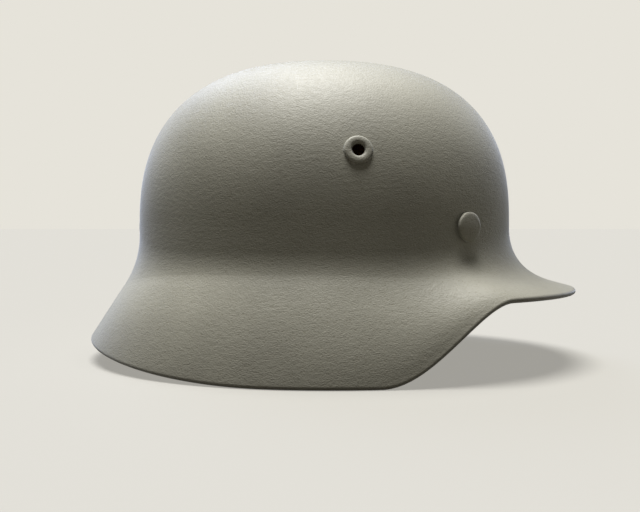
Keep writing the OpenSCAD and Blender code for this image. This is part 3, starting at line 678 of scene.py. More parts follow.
class MeasuredPath:
    """A path in a plane of constant x, with places on it found by their distance along it."""

    def __init__(self, points: list[Vector]) -> None:
        """Measures the path.

        Args:
            points: the path's points.
        """
        self.points = points
        self.runs = [0.0]
        for first, second in zip(points, points[1:]):
            self.runs.append(self.runs[-1] + (second - first).length)

    @property
    def length(self) -> float:
        """Length of the path."""
        return self.runs[-1]

    def at(self, run: float) -> tuple[Vector, Vector]:
        """Finds a place on the path.

        Args:
            run: distance along it.

        Returns:
            The point and the direction square to the path.
        """
        index = min(max(bisect.bisect_right(self.runs, run) - 1, 0), len(self.points) - 2)
        first, second = self.points[index], self.points[index + 1]
        span = self.runs[index + 1] - self.runs[index]
        share = (run - self.runs[index]) / span

        def square(place: int) -> Vector:
            """Finds the direction square to the path.

            Args:
                place: number of one of its points.

            Returns:
                The direction at that point.
            """
            ahead = self.points[min(place + 1, len(self.points) - 1)]
            along = ahead - self.points[max(place - 1, 0)]
            return Vector((0.0, -along.z, along.y)).normalized()

        return first.lerp(second, share), square(index).lerp(square(index + 1), share).normalized()

    def nearest(self, y: float, z: float) -> float:
        """Returns the distance along the path of its point nearest to a place."""
        gaps = [math.hypot(point.y - y, point.z - z) for point in self.points]
        return self.runs[gaps.index(min(gaps))]

    def crossings(self, z: float) -> list[float]:
        """Returns the distances along the path at which it passes a height."""
        pairs = zip(self.points, self.points[1:], self.runs)
        return [run for first, second, run in pairs if (first.z - z) * (second.z - z) <= 0.0]


def strap(
    path: MeasuredPath,
    width: Callable[[float], float],
    thickness: float,
    holes: Sequence[Hole],
    columns: int = 10,
) -> Shape:
    """Cuts a strap flat, punches it, rounds its edges and bends it along a path.

    Args:
        path: the way of the strap's middle.
        width: gives the strap's width at a distance along it.
        thickness: its thickness.
        holes: distance along it, radius and half the straight length of each hole.
        columns: number of faces across it.

    Returns:
        The strap, with its length and breadth in metres in its UV map.
    """
    rows = round(path.length / (width(path.length / 2.0) / columns) * 1.5)
    shape = bmesh.new()
    bmesh.ops.create_grid(shape, x_segments=columns, y_segments=rows, size=1.0)
    for vert in shape.verts:
        run = (vert.co.y + 1.0) / 2.0 * path.length
        vert.co = Vector((vert.co.x * width(run) / 2.0, run, 0.0))
    along = Matrix.Rotation(math.radians(90.0), 4, "Z")
    for run, radius, half in holes:
        rings = [(radius + 0.5, 0.0), (radius, 0.0)]
        place = Matrix.Translation((0.0, run, 0.0)) @ along
        pierce(shape, place, radius + 1.3, rings, SLIT_SIDES if half else HOLE_SIDES, half)
    sheet = shape.faces[:]
    grown = bmesh.ops.extrude_face_region(shape, geom=sheet, use_keep_orig=True)["geom"]
    upper = set(of_kind(grown, Vert))
    for vert in shape.verts:
        vert.co.z += thickness / 2.0 if vert in upper else -thickness / 2.0
    turn_outwards(shape)
    round_edges(shape, thickness * 0.22, 2, 60.0)
    flow = shape.loops.layers.uv.new("flow")
    for face in shape.faces:
        for loop in face.loops:
            loop[flow].uv = (loop.vert.co.y * MM, loop.vert.co.x * MM)
    for vert in shape.verts:
        point, square = path.at(vert.co.y)
        vert.co = point + Vector((vert.co.x, 0.0, 0.0)) + square * vert.co.z
    return shape


def sweep(
    shape: Shape,
    section: Outline,
    path: Sequence[Vector],
    closed: bool = False,
    up: Vector = NEAR_UP,
) -> None:
    """Extrudes a section along a path, with its length and girth in metres in the UV map.

    Args:
        shape: the shape that it is added to.
        section: the points of the section, across and up.
        path: the points that its middle follows.
        closed: whether the path closes on itself.
        up: a direction that the path never runs along.
    """
    count = len(path)
    flow = shape.loops.layers.uv.verify()
    places = []
    for index in range(count):
        ahead = path[(index + 1) % count] if closed else path[min(index + 1, count - 1)]
        behind = path[index - 1] if closed or index else path[0]
        along = (ahead - behind).normalized()
        side = along.cross(up).normalized()
        turn = Matrix((side, side.cross(along), along)).transposed().to_4x4()
        places.append(Matrix.Translation(path[index]) @ turn)
    girth = [0.0]
    ring = [*section, section[0]]
    for first, second in zip(ring, ring[1:]):
        girth.append(girth[-1] + math.dist(first, second))
    start = [shape.verts.new(places[0] @ Vector((across, rise, 0.0))) for across, rise in section]
    order = {vert: number for number, vert in enumerate(start)}
    front = [shape.edges.new((start[i], start[(i + 1) % len(start)])) for i in range(len(start))]
    first_ring = list(front)
    run = 0.0
    for index in range(1, count):
        step = places[index] @ places[index - 1].inverted()
        made = bmesh.ops.extrude_edge_only(shape, edges=front)["geom"]
        fresh = of_kind(made, Vert)
        here = {vert.co.copy().freeze(): number for vert, number in order.items()}
        number_of = {vert: here[vert.co.copy().freeze()] for vert in fresh}
        bmesh.ops.transform(shape, matrix=step, verts=fresh)
        far = run + (path[index] - path[index - 1]).length
        for face in of_kind(made, Face):
            numbers = [number_of.get(loop.vert, order.get(loop.vert)) for loop in face.loops]
            wraps = max(numbers) - min(numbers) > 1
            for loop, number in zip(face.loops, numbers):
                around = girth[len(section)] if wraps and number == 0 else girth[number]
                loop[flow].uv = ((far if loop.vert in number_of else run) * MM, around * MM)
        front = [edge for edge in of_kind(made, Edge) if all(vert in number_of for vert in edge.verts)]
        order = number_of
        run = far
    if closed:
        bmesh.ops.bridge_loops(shape, edges=first_ring + front)
    else:
        for loop_edges in (first_ring, front):
            bmesh.ops.edgeloop_fill(shape, edges=loop_edges)


def round_section(radius: float, sides: int) -> Outline:
    """Returns the points of a round section."""
    angles = [math.tau * k / sides for k in range(sides)]
    return [(radius * math.cos(angle), radius * math.sin(angle)) for angle in angles]


def flat_section(width: float, height: float, corner: float, rows: int = 0) -> Outline:
    """Returns the points of a rectangle with rounded corners.

    Args:
        width: its size across.
        height: its size upwards.
        corner: radius of its corners.
        rows: number of points along each upright side between the corners.

    Returns:
        Its points, across and up.
    """
    points = []
    upright = height / 2.0 - corner
    for quarter, (sx, sy) in enumerate(((1, 1), (-1, 1), (-1, -1), (1, -1))):
        if quarter in (0, 2):
            for row in range(1, rows + 1):
                points.append((sx * width / 2.0, sx * mix(-upright, upright, row / (rows + 1))))
        for step in range(4):
            angle = math.radians(90.0 * quarter + 30.0 * step)
            across = sx * (width / 2.0 - corner) + corner * math.cos(angle)
            points.append((across, sy * upright + corner * math.sin(angle)))
    return points


def slot_point(share: float, radius: float, stretch: float, first_radius: float) -> tuple[float, float]:
    """Finds a point on the outline of a slot with round ends.

    Args:
        share: share of the way round, from its far end.
        radius: the outline's radius.
        stretch: half the length of its straight sides.
        first_radius: radius of the outermost outline, which spaces the points.

    Returns:
        The point, along and across the slot.
    """
    quarter = first_radius * math.pi / 2.0
    run = share * (4.0 * quarter + 4.0 * stretch)
    parts = ((quarter, 0), (2 * stretch, 1), (2 * quarter, 0), (2 * stretch, -1), (quarter, 0))
    for part, (length, side) in enumerate(parts):
        if run <= length or part == 4:
            break
        run -= length
    if side:
        return (side * (stretch - run), side * radius)
    start = (0.0, 0.0, math.pi / 2.0, 0.0, 1.5 * math.pi)[part]
    angle = start + run / first_radius
    middle = -stretch if part == 2 else stretch
    return (middle + radius * math.cos(angle), radius * math.sin(angle))


def pierce(
    shape: Shape,
    place: Matrix,
    clear: float,
    rings: Outline,
    sides: int,
    stretch: float = 0.0,
    reach: float = 6.0,
) -> None:
    """Opens a sheet round an axis and fills the opening with rings down to a clean hole.

    Args:
        shape: the sheet.
        place: puts the hole's axis, its local +Z, on the sheet.
        clear: faces nearer to the axis than this are taken out.
        rings: radius and height above the old surface of each ring, from the outermost.
        sides: vertices in each ring.
        stretch: half the length of the straight sides of a slot, along the local X.
        reach: how far along its axis the hole acts.
    """
    shape.normal_update()
    tree = BVHTree.FromBMesh(shape)
    back = place.inverted()
    axis = (place.to_3x3() @ Vector((0.0, 0.0, 1.0))).normalized()

    def near(point: Vector) -> bool:
        """Tells whether a point lies in the opening.

        Args:
            point: a point of the sheet.

        Returns:
            Whether it is near enough to the axis.
        """
        local = back @ point
        off = max(0.0, abs(local.x) - stretch)
        return math.hypot(off, local.y) < clear and abs(local.z) < reach

    # Dictionaries keep the order in which faces and edges are found, which sets don't
    doomed = dict.fromkeys(face for face in shape.faces if any(near(vert.co) for vert in face.verts))
    outline = dict.fromkeys(edge for face in doomed for edge in face.edges)
    border = [edge for edge in outline if any(face not in doomed for face in edge.link_faces)]
    bmesh.ops.delete(shape, geom=list(doomed), context="FACES")

    def on_ring(turn: float, radius: float, height: float) -> Vector:
        """Finds a point of a ring on the old surface.

        Args:
            turn: the angle round the axis, in radians.
            radius: the ring's radius.
            height: its height above the old surface.

        Returns:
            The point.
        """
        across = slot_point(turn / math.tau % 1.0, radius, stretch, rings[0][0])
        flat = place @ Vector((*across, 0.0))
        hit = tree.ray_cast(flat + axis * reach, -axis, 2.0 * reach)[0]
        return (hit or flat) + axis * height

    made = bmesh.ops.create_circle(shape, cap_ends=False, radius=1.0, segments=sides)["verts"]
    turns = {vert: math.atan2(vert.co.y, vert.co.x) for vert in made}
    for vert in made:
        vert.co = on_ring(turns[vert], *rings[0])
    front = list(dict.fromkeys(edge for vert in made for edge in vert.link_edges))
    bmesh.ops.bridge_loops(shape, edges=border + front)
    for radius, height in rings[1:]:
        grown = bmesh.ops.extrude_edge_only(shape, edges=front)["geom"]
        fresh = of_kind(grown, Vert)
        old = {vert.co.copy().freeze(): turn for vert, turn in turns.items()}
        turns = {vert: old[vert.co.copy().freeze()] for vert in fresh}
        for vert in fresh:
            vert.co = on_ring(turns[vert], radius, height)
        front = [edge for edge in of_kind(grown, Edge) if all(vert in turns for vert in edge.verts)]


def refined(
    node: str, coat: Coat, body: Body, bevel: float = 0.0, moved: Callable[[Vector], Vector] | None = None
) -> bpy.types.Object:
    """Makes a smoother piece from a CAD node's own mesh: merged, flat faces joined, edges broken.

    Args:
        node: the CAD node that it stands for.
        coat: its finish.
        body: the body that it rides on.
        bevel: width of the broken edges, in millimetres.
        moved: says where each point of the mesh goes, where the piece is fuller than its node.

    Returns:
        The new object.
    """
    shape = bmesh.new()
    shape.from_mesh(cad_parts[node].data)
    merge(shape, 2e-6)
    for vert in shape.verts if moved else ():
        vert.co = moved(vert.co)
    flat = math.radians(0.6)
    bmesh.ops.dissolve_limit(shape, angle_limit=flat, verts=shape.verts[:], edges=shape.edges[:])
    if bevel:
        round_edges(shape, bevel * MM, 2, 50.0)
    piece = finish_piece(shape, node + "_finished", body, coat, [node], in_metres=True)
    weights = piece.modifiers.new("even shading", "WEIGHTED_NORMAL")
    weights.keep_sharp = True
    return piece


# The skull's upright wall, which the shell and the liner share


@dataclass
class SkullWall:
    """The upright wall of the skull, and places on it by angle from the front."""

    skull_front: float = 117.0
    skull_rear: float = 112.5
    skull_half_width: float = 91.0
    sheet: float = 1.2
    pin_angle: float = 45.0
    pin_height: float = 80.0

    def end(self, phi: float, front: float, rear: float) -> float:
        """Returns the front's or the rear's value for an angle from the front."""
        return front if math.cos(phi) > 0.0 else rear

    def wall_point(self, phi: float, inward: float, height: float = 0.0, spread: float = 1.0) -> Vector:
        """Returns a point inside the wall.

        Args:
            phi: angle from the front, in radians.
            inward: distance inward from the wall's inner face.
            height: height above the table.
            spread: the point's share of its distance from the middle.

        Returns:
            The point in the skull's millimetres.
        """
        length = self.end(phi, self.skull_front, self.skull_rear) - self.sheet - inward
        width = self.skull_half_width - self.sheet - inward
        return Vector((length * math.cos(phi) * spread, width * math.sin(phi) * spread, height))

    def wall_place(self, phi: float, inward: float, height: float) -> Matrix:
        """Returns the matrix whose +X points straight out of the wall.

        Args:
            phi: angle from the front, in radians.
            inward: distance inward from the wall's inner face.
            height: height above the table.

        Returns:
            The matrix in the skull's millimetres.
        """
        length = self.end(phi, self.skull_front, self.skull_rear)
        heading = math.atan2(length * math.sin(phi), self.skull_half_width * math.cos(phi))
        turn = Matrix.Rotation(heading, 4, "Z")
        place = Matrix.Translation(self.wall_point(phi, 0.0, height))
        return place @ turn @ Matrix.Translation((-inward, 0.0, 0.0))


# The pressed shell


@dataclass
class PressedShell(SkullWall):
    """The skull, visor, skirt and neck guard, pressed in one, with a rolled rim, two vents and pins.

    Angles round the shell count from the front, in degrees, and heights from the table.
    """

    paint: Coat | None = None
    pin_paint: Coat | None = None
    crown_height: float = 181.5
    crease_height: float = 59.0
    wall_rise: float = 21.0
    front_fullness: float = 2.6
    rear_fullness: float = 2.46
    side_fullness: float = 2.3
    visor_reach: float = 39.0
    visor_height: float = 40.5
    visor_power: float = 0.96
    visor_dip: float = 5.0
    side_reach: float = 24.5
    rear_reach: float = 29.5
    rear_rise: float = 12.0
    drop_start: float = 49.0
    drop_end: float = 78.0
    rise_start: float = 100.0
    front_blend: float = 28.0
    side_blend: float = 6.5
    rear_blend: float = 18.0
    front_blend_power: float = 1.5
    rear_blend_power: float = 3.0
    crown_gathering: float = 1.2
    fillet_cap: float = 0.85
    side_lift: float = 1.7
    side_swell: float = 1.1
    upper_swell: float = 0.9
    corner_swell: float = 1.6
    corner_angle: float = 64.0
    corner_spread: float = 17.0
    swell_start: float = 50.0
    swell_full: float = 80.0
    swell_fade: float = 135.0
    swell_end: float = 175.0
    roll_radius: float = 1.7
    hem_height: float = 5.2
    vent_angle: float = 78.0
    vent_height: float = 120.2
    vent_base: float = 8.3
    vent_crest: float = 5.5
    vent_hole: float = 3.35
    vent_rise: float = 1.55
    vent_sides: int = 72
    pin_hole: float = 2.45
    head_radius: float = 8.1
    head_foot: float = 1.5
    head_rim: float = 2.1
    head_rim_depth: float = 0.35
    head_stand: float = 0.3
    head_edge: float = 0.75
    head_dome: float = 0.5
    rear_seat: float = 0.3
    rear_bend: float = 147.0
    columns: int = 288
    dome_rows: int = 56
    blend_rows: int = 20
    skirt_rows: int = 14
    roll_rows: int = 12
    hem_rows: int = 3

    @property
    def wall_top(self) -> float:
        """Height where the upright wall turns into the dome."""
        return self.crease_height + self.wall_rise

    def crease(self, phi: float) -> Vector:
        """Finds a point of the crease, where skull and skirt meet.

        Args:
            phi: angle from the front, in radians.

        Returns:
            The point in the skull's millimetres.
        """
        cosine = math.cos(phi)
        dip = self.visor_dip * cosine**2 if cosine > 0.0 else 0.0
        length = self.end(phi, self.skull_front, self.skull_rear)
        height = self.crease_height - dip + self.side_lift * math.sin(phi) ** 2
        return Vector((length * cosine, self.skull_half_width * math.sin(phi), height))

    def dome(self, phi: float, psi: float) -> Vector:
        """Returns a point of the dome.

        Args:
            phi: angle from the front, in radians.
            psi: angle from the crown, in radians.

        Returns:
            The point in the skull's millimetres.
        """
        share = math.cos(phi) ** 2
        fullness = mix(self.side_fullness, self.end(phi, self.front_fullness, self.rear_fullness), share)
        spread = math.sin(psi) ** (2.0 / fullness)
        rise = max(0.0, math.cos(psi)) ** (2.0 / fullness)
        base = self.crease(phi)
        height = self.wall_top + (self.crown_height - self.wall_top) * rise
        return Vector((base.x * spread, base.y * spread, height))

    def from_front(self, phi: float) -> float:
        """Returns how many degrees an angle is from the front, to either side."""
        return math.degrees(math.acos(max(-1.0, min(1.0, math.cos(phi)))))

    def roll(self, phi: float) -> Vector:
        """Finds the middle of the rolled rim.

        Args:
            phi: angle from the front, in radians.

        Returns:
            The point in the skull's millimetres.
        """
        cosine, sine = math.cos(phi), math.sin(phi)
        degrees = self.from_front(phi)
        drop = ease((degrees - self.drop_start) / (self.drop_end - self.drop_start))
        rise = ease((degrees - self.rise_start) / (180.0 - self.rise_start))
        height = self.visor_height * (1.0 - drop) + self.rear_rise * rise + self.roll_radius
        length = self.end(phi, self.skull_front + self.visor_reach, self.skull_rear + self.rear_reach)
        exponent = self.end(phi, self.visor_power, 1.0)
        length -= self.roll_radius
        width = self.skull_half_width + self.side_reach - self.roll_radius
        return Vector((length * power(cosine, exponent), width * power(sine, exponent), height))

    def swell(self, phi: float, t: float) -> float:
        """Finds how far the skirt swells out of a straight line from the crease to the rim.

        Args:
            phi: angle from the front, in radians.
            t: share of the way down.

        Returns:
            The swell in millimetres: at the sides full near the crease, at the front corners near the rim.
        """
        degrees = self.from_front(phi)
        corner = self.corner_swell * math.exp(-(((degrees - self.corner_angle) / self.corner_spread) ** 2))
        rise = ease((degrees - self.swell_start) / (self.swell_full - self.swell_start))
        fall = ease((self.swell_end - degrees) / (self.swell_end - self.swell_fade))
        side = self.side_swell * rise * fall
        upper = self.upper_swell * rise * fall
        # The two numbers bring each curve's peak to 1, so that the named swells are its height
        even = 2.6 * side * t * (1.0 - t * t)
        return even + 6.75 * t * (1.0 - t) * (upper * (1.0 - t) + corner * t)

    def column(self, phi: float) -> list[Vector]:
        """Returns one line of the outer surface, from just below the crown to the end of the hem.

        Args:
            phi: angle from the front, in radians.

        Returns:
            Its points in the skull's millimetres.
        """
        turn = math.radians(1.0)
        crease, middle = self.crease(phi), self.roll(phi)
        fall = (middle - crease).normalized()
        out = fall.cross(self.roll(phi + turn) - self.roll(phi - turn)).normalized()
        edge = middle + self.roll_radius * out
        share = (math.cos(phi) ** 2) ** self.end(phi, self.front_blend_power, self.rear_blend_power)
        reach = mix(self.side_blend, self.end(phi, self.front_blend, self.rear_blend), share)
        slope = edge - crease
        upper = crease + Vector((0.0, 0.0, min(reach, self.wall_top - crease.z)))
        lower = crease + slope.normalized() * min(reach, self.fillet_cap * slope.length)
        steps = [(i / self.dome_rows) ** self.crown_gathering for i in range(1, self.dome_rows)]
        points = [self.dome(phi, math.pi / 2 * step) for step in steps]
        for i in range(self.blend_rows + 1):
            t = i / self.blend_rows
            points.append(upper * (1 - t) ** 2 + crease * (2 * t * (1 - t)) + lower * t**2)
        for i in range(1, self.skirt_rows + 1):
            t = i / self.skirt_rows
            points.append(lower.lerp(edge, t) + self.swell(phi, t) * out)
        for i in range(1, self.roll_rows + 1):
            angle = math.pi * i / self.roll_rows
            points.append(middle + self.roll_radius * (math.cos(angle) * out + math.sin(angle) * fall))
        for i in range(1, self.hem_rows + 1):
            points.append(middle - self.roll_radius * out - fall * (self.hem_height * i / self.hem_rows))
        return points

    def vent_place(self, side: int) -> Matrix:
        """Finds where a vent's axis stands on the skull.

        Args:
            side: 1 for the left one, -1 for the right one.

        Returns:
            The matrix whose +Z points straight out of the skull.
        """
        phi = math.radians(self.vent_angle)
        fullness = mix(self.side_fullness, self.front_fullness, math.cos(phi) ** 2)
        rise = (self.vent_height - self.wall_top) / (self.crown_height - self.wall_top)
        psi = math.acos(rise ** (fullness / 2.0))
        step = math.radians(1.0)
        down = self.dome(phi, psi + step) - self.dome(phi, psi - step)
        round_it = self.dome(phi + step, psi) - self.dome(phi - step, psi)
        axis = down.cross(round_it).normalized()
        spot = self.dome(phi, psi)
        spot.y *= side
        axis.y *= side
        return standing(spot, axis)

    def vent_rings(self) -> Outline:
        """Shapes the ring of a stamped vent.

        Returns:
            Radius and height of each of its circles, from the skull to the hole.
        """
        rings = [(self.vent_base + 1.6, 0.0), (self.vent_base + 0.5, 0.0)]
        foot = self.vent_base - 0.5
        for i in range(9):
            t = 1.0 - i / 8
            rings.append((mix(self.vent_crest, foot, t), self.vent_rise * math.sqrt(1 - t**4)))
        for i in range(1, 8):
            t = i / 7
            fall = self.vent_rise * math.sqrt(1 - 0.96 * t * t)
            rings.append((mix(self.vent_crest, self.vent_hole, t), fall))
        return [*rings, (self.vent_hole, -0.5)]

    def domed(self, place: Matrix, point: Vector) -> Vector:
        """Moves a point of a pin's head out, so that the head is a fuller dome that stands off the wall.

        Args:
            place: puts the pin's axis, its local +X, on the wall's inner face.
            point: a point of the pin.

        Returns:
            The moved point; points below the head stay.
        """
        local = place.inverted() @ point
        if local.x > self.head_foot:
            off = math.hypot(local.y, local.z) / self.head_radius
            top = ease((local.x - self.head_rim) / self.head_rim_depth)
            local.x += self.head_stand + top * (self.head_edge + self.head_dome * (1.0 - off * off))
        return place @ local

    def seated(self, place: Matrix, point: Vector) -> Vector:
        """Moves a point of the rear pin's head in, so that the head follows the round wall closely.

        Args:
            place: puts the pin's axis, its local +X, on the wall's inner face.
            point: a point of the pin.

        Returns:
            The moved point; points below the head stay.
        """
        local = place.inverted() @ point
        if local.x > self.head_foot:
            local.x -= self.rear_seat + local.y**2 / self.rear_bend
        return place @ local

    def build(self) -> None:
        """Builds the shell and shows it in place of its CAD node."""
        table = [self.column(math.tau * j / self.columns) for j in range(self.columns)]
        crown = Vector((0.0, 0.0, self.crown_height))
        rows = len(table[0]) + 1
        shape = ring_sheet(rows, self.columns, lambda row, column: table[column][row - 1] if row else crown)
        merge(shape, 1e-4)
        turn_outwards(shape)
        for side in (1, -1):
            pierce(shape, self.vent_place(side), self.vent_base + 2.4, self.vent_rings(), self.vent_sides)
        for phi in (self.pin_angle, -self.pin_angle, 180.0):
            across = Matrix.Rotation(math.radians(90.0), 4, "Y")
            place = self.wall_place(math.radians(phi), -self.sheet, self.pin_height) @ across
            rings = [(self.pin_hole + 0.8, 0.0), (self.pin_hole, 0.0)]
            pierce(shape, place, self.pin_hole + 1.6, rings, HOLE_SIDES)
        turn_outwards(shape)
        thicken(shape, self.sheet)
        finish_piece(shape, "pressed_shell", Body.HELMET, self.paint, ["shell"])
        pins = {"pin_right": -self.pin_angle, "pin_left": self.pin_angle, "pin_rear": 180.0}
        for pin, degrees in pins.items():
            place = frame_matrix() @ self.wall_place(math.radians(degrees), 0.0, self.pin_height)
            head = self.domed if degrees < 180.0 else self.seated
            refined(pin, self.pin_paint, Body.HELMET, moved=partial(head, place))


# The liner


@dataclass
class SprungBands:
    """The two liner bands with their leaf springs, rivets and washers."""

    band: Coat
    spring: Coat
    rivet: Coat

    def build(self) -> None:
        """Builds the bands and what joins them."""
        for node in ("outer_band", "inner_band"):
            refined(node, self.band, Body.HELMET, 0.2)
        for place in ("front", "left", "right", "rear_left", "rear_right"):
            refined("spring_" + place, self.spring, Body.HELMET, 0.18)
        for node in ("spring_rivets", "pin_washers"):
            refined(node, self.rivet, Body.HELMET, 0.12)


@dataclass
class LeatherLiner(SkullWall):
    """The sweatband with its eight fingers, the felt behind it, its clips and its lace."""

    leather: Coat | None = None
    felt: Coat | None = None
    clip: Coat | None = None
    cotton: Coat | None = None
    thickness: float = 1.5
    band_foot: float = 64.6
    band_under: float = 67.2
    band_top: float = 92.5
    low_inward: float = 8.35
    high_inward: float = 11.75
    step_foot: float = 73.0
    step_top: float = 74.6
    foot_reach: float = 6.6
    crown: float = 162.0
    fullness: float = 2.2
    tip_share: float = 0.24
    fingers: int = 8
    finger_columns: int = 20
    band_rows: int = 26
    finger_rows: int = 44
    clip_angle: float = 11.25
    lace_hole: float = 2.4
    lace_radius: float = 1.0
    lace_lift: float = 2.2
    lace_share: float = 0.875
    knot_size: float = 0.62
    knot_depth: float = 0.75
    felt_inward: float = 8.1
    felt_thickness: float = 2.6
    felt_height: float = 18.0
    felt_corner: float = 0.9
    felt_columns: int = 192

    def psi(self, share: float) -> float:
        """Returns the angle from the crown at a share of a finger's length."""
        tip = math.asin(self.tip_share ** (self.fullness / 2.0))
        return math.pi / 2.0 - (math.pi / 2.0 - tip) * share

    def fill(self, share: float) -> float:
        """Shapes the outline of a finger.

        Args:
            share: share of its length, from the band.

        Returns:
            How much of its eighth of the ring it takes there.
        """
        if share < 0.125:
            return mix(0.985, 0.95, share / 0.125)
        t = (share - 0.125) / 0.875
        if share < self.lace_share:
            return 0.95 - 0.2 * math.sin(math.radians(150.0 * t))
        u = (share - self.lace_share) / (1.0 - self.lace_share)
        return 0.794 * math.sqrt(1.0 - 0.6 * u * u)

    def finger_point(self, phi: float, share: float, lift: float = 0.0) -> Vector:
        """Returns a point of the fingers' middle surface.

        Args:
            phi: angle from the front, in radians.
            share: share of the finger's length from the band.
            lift: distance above that surface.

        Returns:
            The point in the skull's millimetres.
        """
        psi = self.psi(share)
        spread = math.sin(psi) ** (2.0 / self.fullness)
        rise = max(0.0, math.cos(psi)) ** (2.0 / self.fullness)
        top = self.crown - self.thickness / 2.0 - self.band_top
        return self.wall_point(phi, self.high_inward, self.band_top + top * rise + lift, spread)

    def band_point(self, phi: float, height: float) -> Vector:
        """Finds a point of the band's middle surface, which bellies a little between its clips.

        Args:
            phi: angle from the front, in radians.
            height: height above the table.

        Returns:
            The point in the skull's millimetres.
        """
        step = ease((height - self.step_foot) / (self.step_top - self.step_foot))
        belly = math.sin((phi - math.radians(self.clip_angle)) * self.fingers) ** 2
        low = ease((height - self.band_foot) / 6.0) * (1.0 - step)
        wave = noise.noise(Vector((math.cos(phi) * 4.0, math.sin(phi) * 4.0, height / 9.0)))
        inward = mix(self.low_inward, self.high_inward, step) + 0.45 * belly * low + 0.25 * wave * step
        return self.wall_point(phi, inward, height)

    def sheet_point(self, row: int, column: int) -> Vector:
        """Finds a point of the leather's middle surface.

        Args:
            row: its row, from the band's foot to the tips.
            column: its column, round the ring.

        Returns:
            The point in the skull's millimetres.
        """
        finger, across = divmod(column, self.finger_columns + 1)
        side = 2.0 * across / self.finger_columns - 1.0
        share = max(0.0, (row - self.band_rows) / self.finger_rows)
        share -= 0.03 * side * side * ease((share - 0.8) / 0.2)
        middle = math.tau * finger / self.fingers
        phi = middle + self.fill(share) * side * math.pi / self.fingers
        if row <= self.band_rows:
            return self.band_point(phi, mix(self.band_foot, self.band_top, row / self.band_rows))
        point = self.finger_point(phi, share)
        slack = math.sin(math.pi * min(1.0, share / 0.8)) if share < 0.8 else 0.0
        wave = noise.noise(Vector((finger * 7.3, share * 5.0, side * 1.3)))
        curl = 1.3 * abs(side) ** 3 + 1.4 * wave
        inward = Vector((-point.x, -point.y, 110.0 - point.z)).normalized()
        return point + inward * (curl * slack)

    def build_leather(self) -> None:
        """Builds the sweatband and its fingers from one sheet."""
        rows = self.band_rows + self.finger_rows + 1
        pitch = self.finger_columns + 1
        shape = ring_sheet(
            rows,
            self.fingers * pitch,
            self.sheet_point,
            lambda row, column: row >= self.band_rows and column % pitch == self.finger_columns,
        )
        turn_outwards(shape)
        for finger in range(self.fingers):
            phi = math.tau * finger / self.fingers
            spot = self.finger_point(phi, self.lace_share)
            beyond, before = (self.finger_point(phi, self.lace_share + step) for step in (0.01, -0.01))
            along = beyond - before
            axis = along.cross(Vector((-math.sin(phi), math.cos(phi), 0.0))).normalized()
            rings = [(self.lace_hole + 0.5, 0.0), (self.lace_hole, 0.0)]
            pierce(shape, standing(spot, axis), self.lace_hole + 1.5, rings, HOLE_SIDES)
        thicken(shape, self.thickness, centred=True)
        self.turn_foot_under(shape)
        round_edges(shape, 0.3, 2, 55.0)
        finish_piece(shape, "sweatband_with_fingers", Body.HELMET, self.leather, ["leather_liner"])

    def turn_foot_under(self, shape: Shape) -> None:
        """Widens the band's lower edge outwards, so that it closes under the inner steel band.

        Args:
            shape: the leather with its wall.
        """
        for vert in shape.verts:
            if vert.co.z > self.band_under or abs(vert.co.z - self.band_top) > 40.0:
                continue
            phi = math.atan2(vert.co.y / self.skull_half_width, vert.co.x / self.skull_rear)
            middle = self.wall_point(phi, self.low_inward)
            if vert.co.xy.length > middle.xy.length:
                depth = ease((self.band_under - vert.co.z) / 0.5)
                reach = (self.low_inward - self.thickness / 2.0 - self.foot_reach) * depth
                vert.co += Vector((vert.co.x, vert.co.y, 0.0)).normalized() * reach

    def build_felt(self) -> None:
        """Builds the felt ring between the inner band and the leather, a little uneven all round."""
        middle = self.felt_inward + self.felt_thickness / 2.0
        height = self.band_top - self.felt_height / 2.0
        outline = flat_section(self.felt_thickness, self.felt_height, self.felt_corner, 9)
        outline = [*outline, outline[0]]

        def place(row: int, column: int) -> Vector:
            """Finds a point of the felt's skin.

            Args:
                row: number of the section's point.
                column: its column, round the ring.

            Returns:
                The point in the skull's millimetres.
            """
            phi = math.tau * column / self.felt_columns
            across, rise = outline[row]
            rough = noise.noise(Vector((math.cos(phi) * 9.0, math.sin(phi) * 9.0, rise / 5.0 + across)))
            edge = abs(rise) / (self.felt_height / 2.0)
            worn = 0.35 * abs(rough) * edge * math.copysign(1, rise)
            return self.wall_point(phi, middle - across - 0.12 * rough, height + rise - worn)

        shape = ring_sheet(len(outline), self.felt_columns, place)
        merge(shape, 1e-4)
        turn_outwards(shape)
        ring = finish_piece(shape, "felt_cushion_ring", Body.HELMET, self.felt, ["felt_ring"])

    def lace_point(self, finger: float, degrees: float) -> Vector:
        """Finds a point of the lace, above the even fingers and below the odd ones.

        Args:
            finger: number of the finger.
            degrees: angle from its middle.

        Returns:
            The point in the skull's millimetres.
        """
        lift = self.lace_lift if finger % 2 == 0 else -self.lace_lift
        phi = math.radians(360.0 / self.fingers * finger + degrees)
        return self.finger_point(phi, self.lace_share, lift)

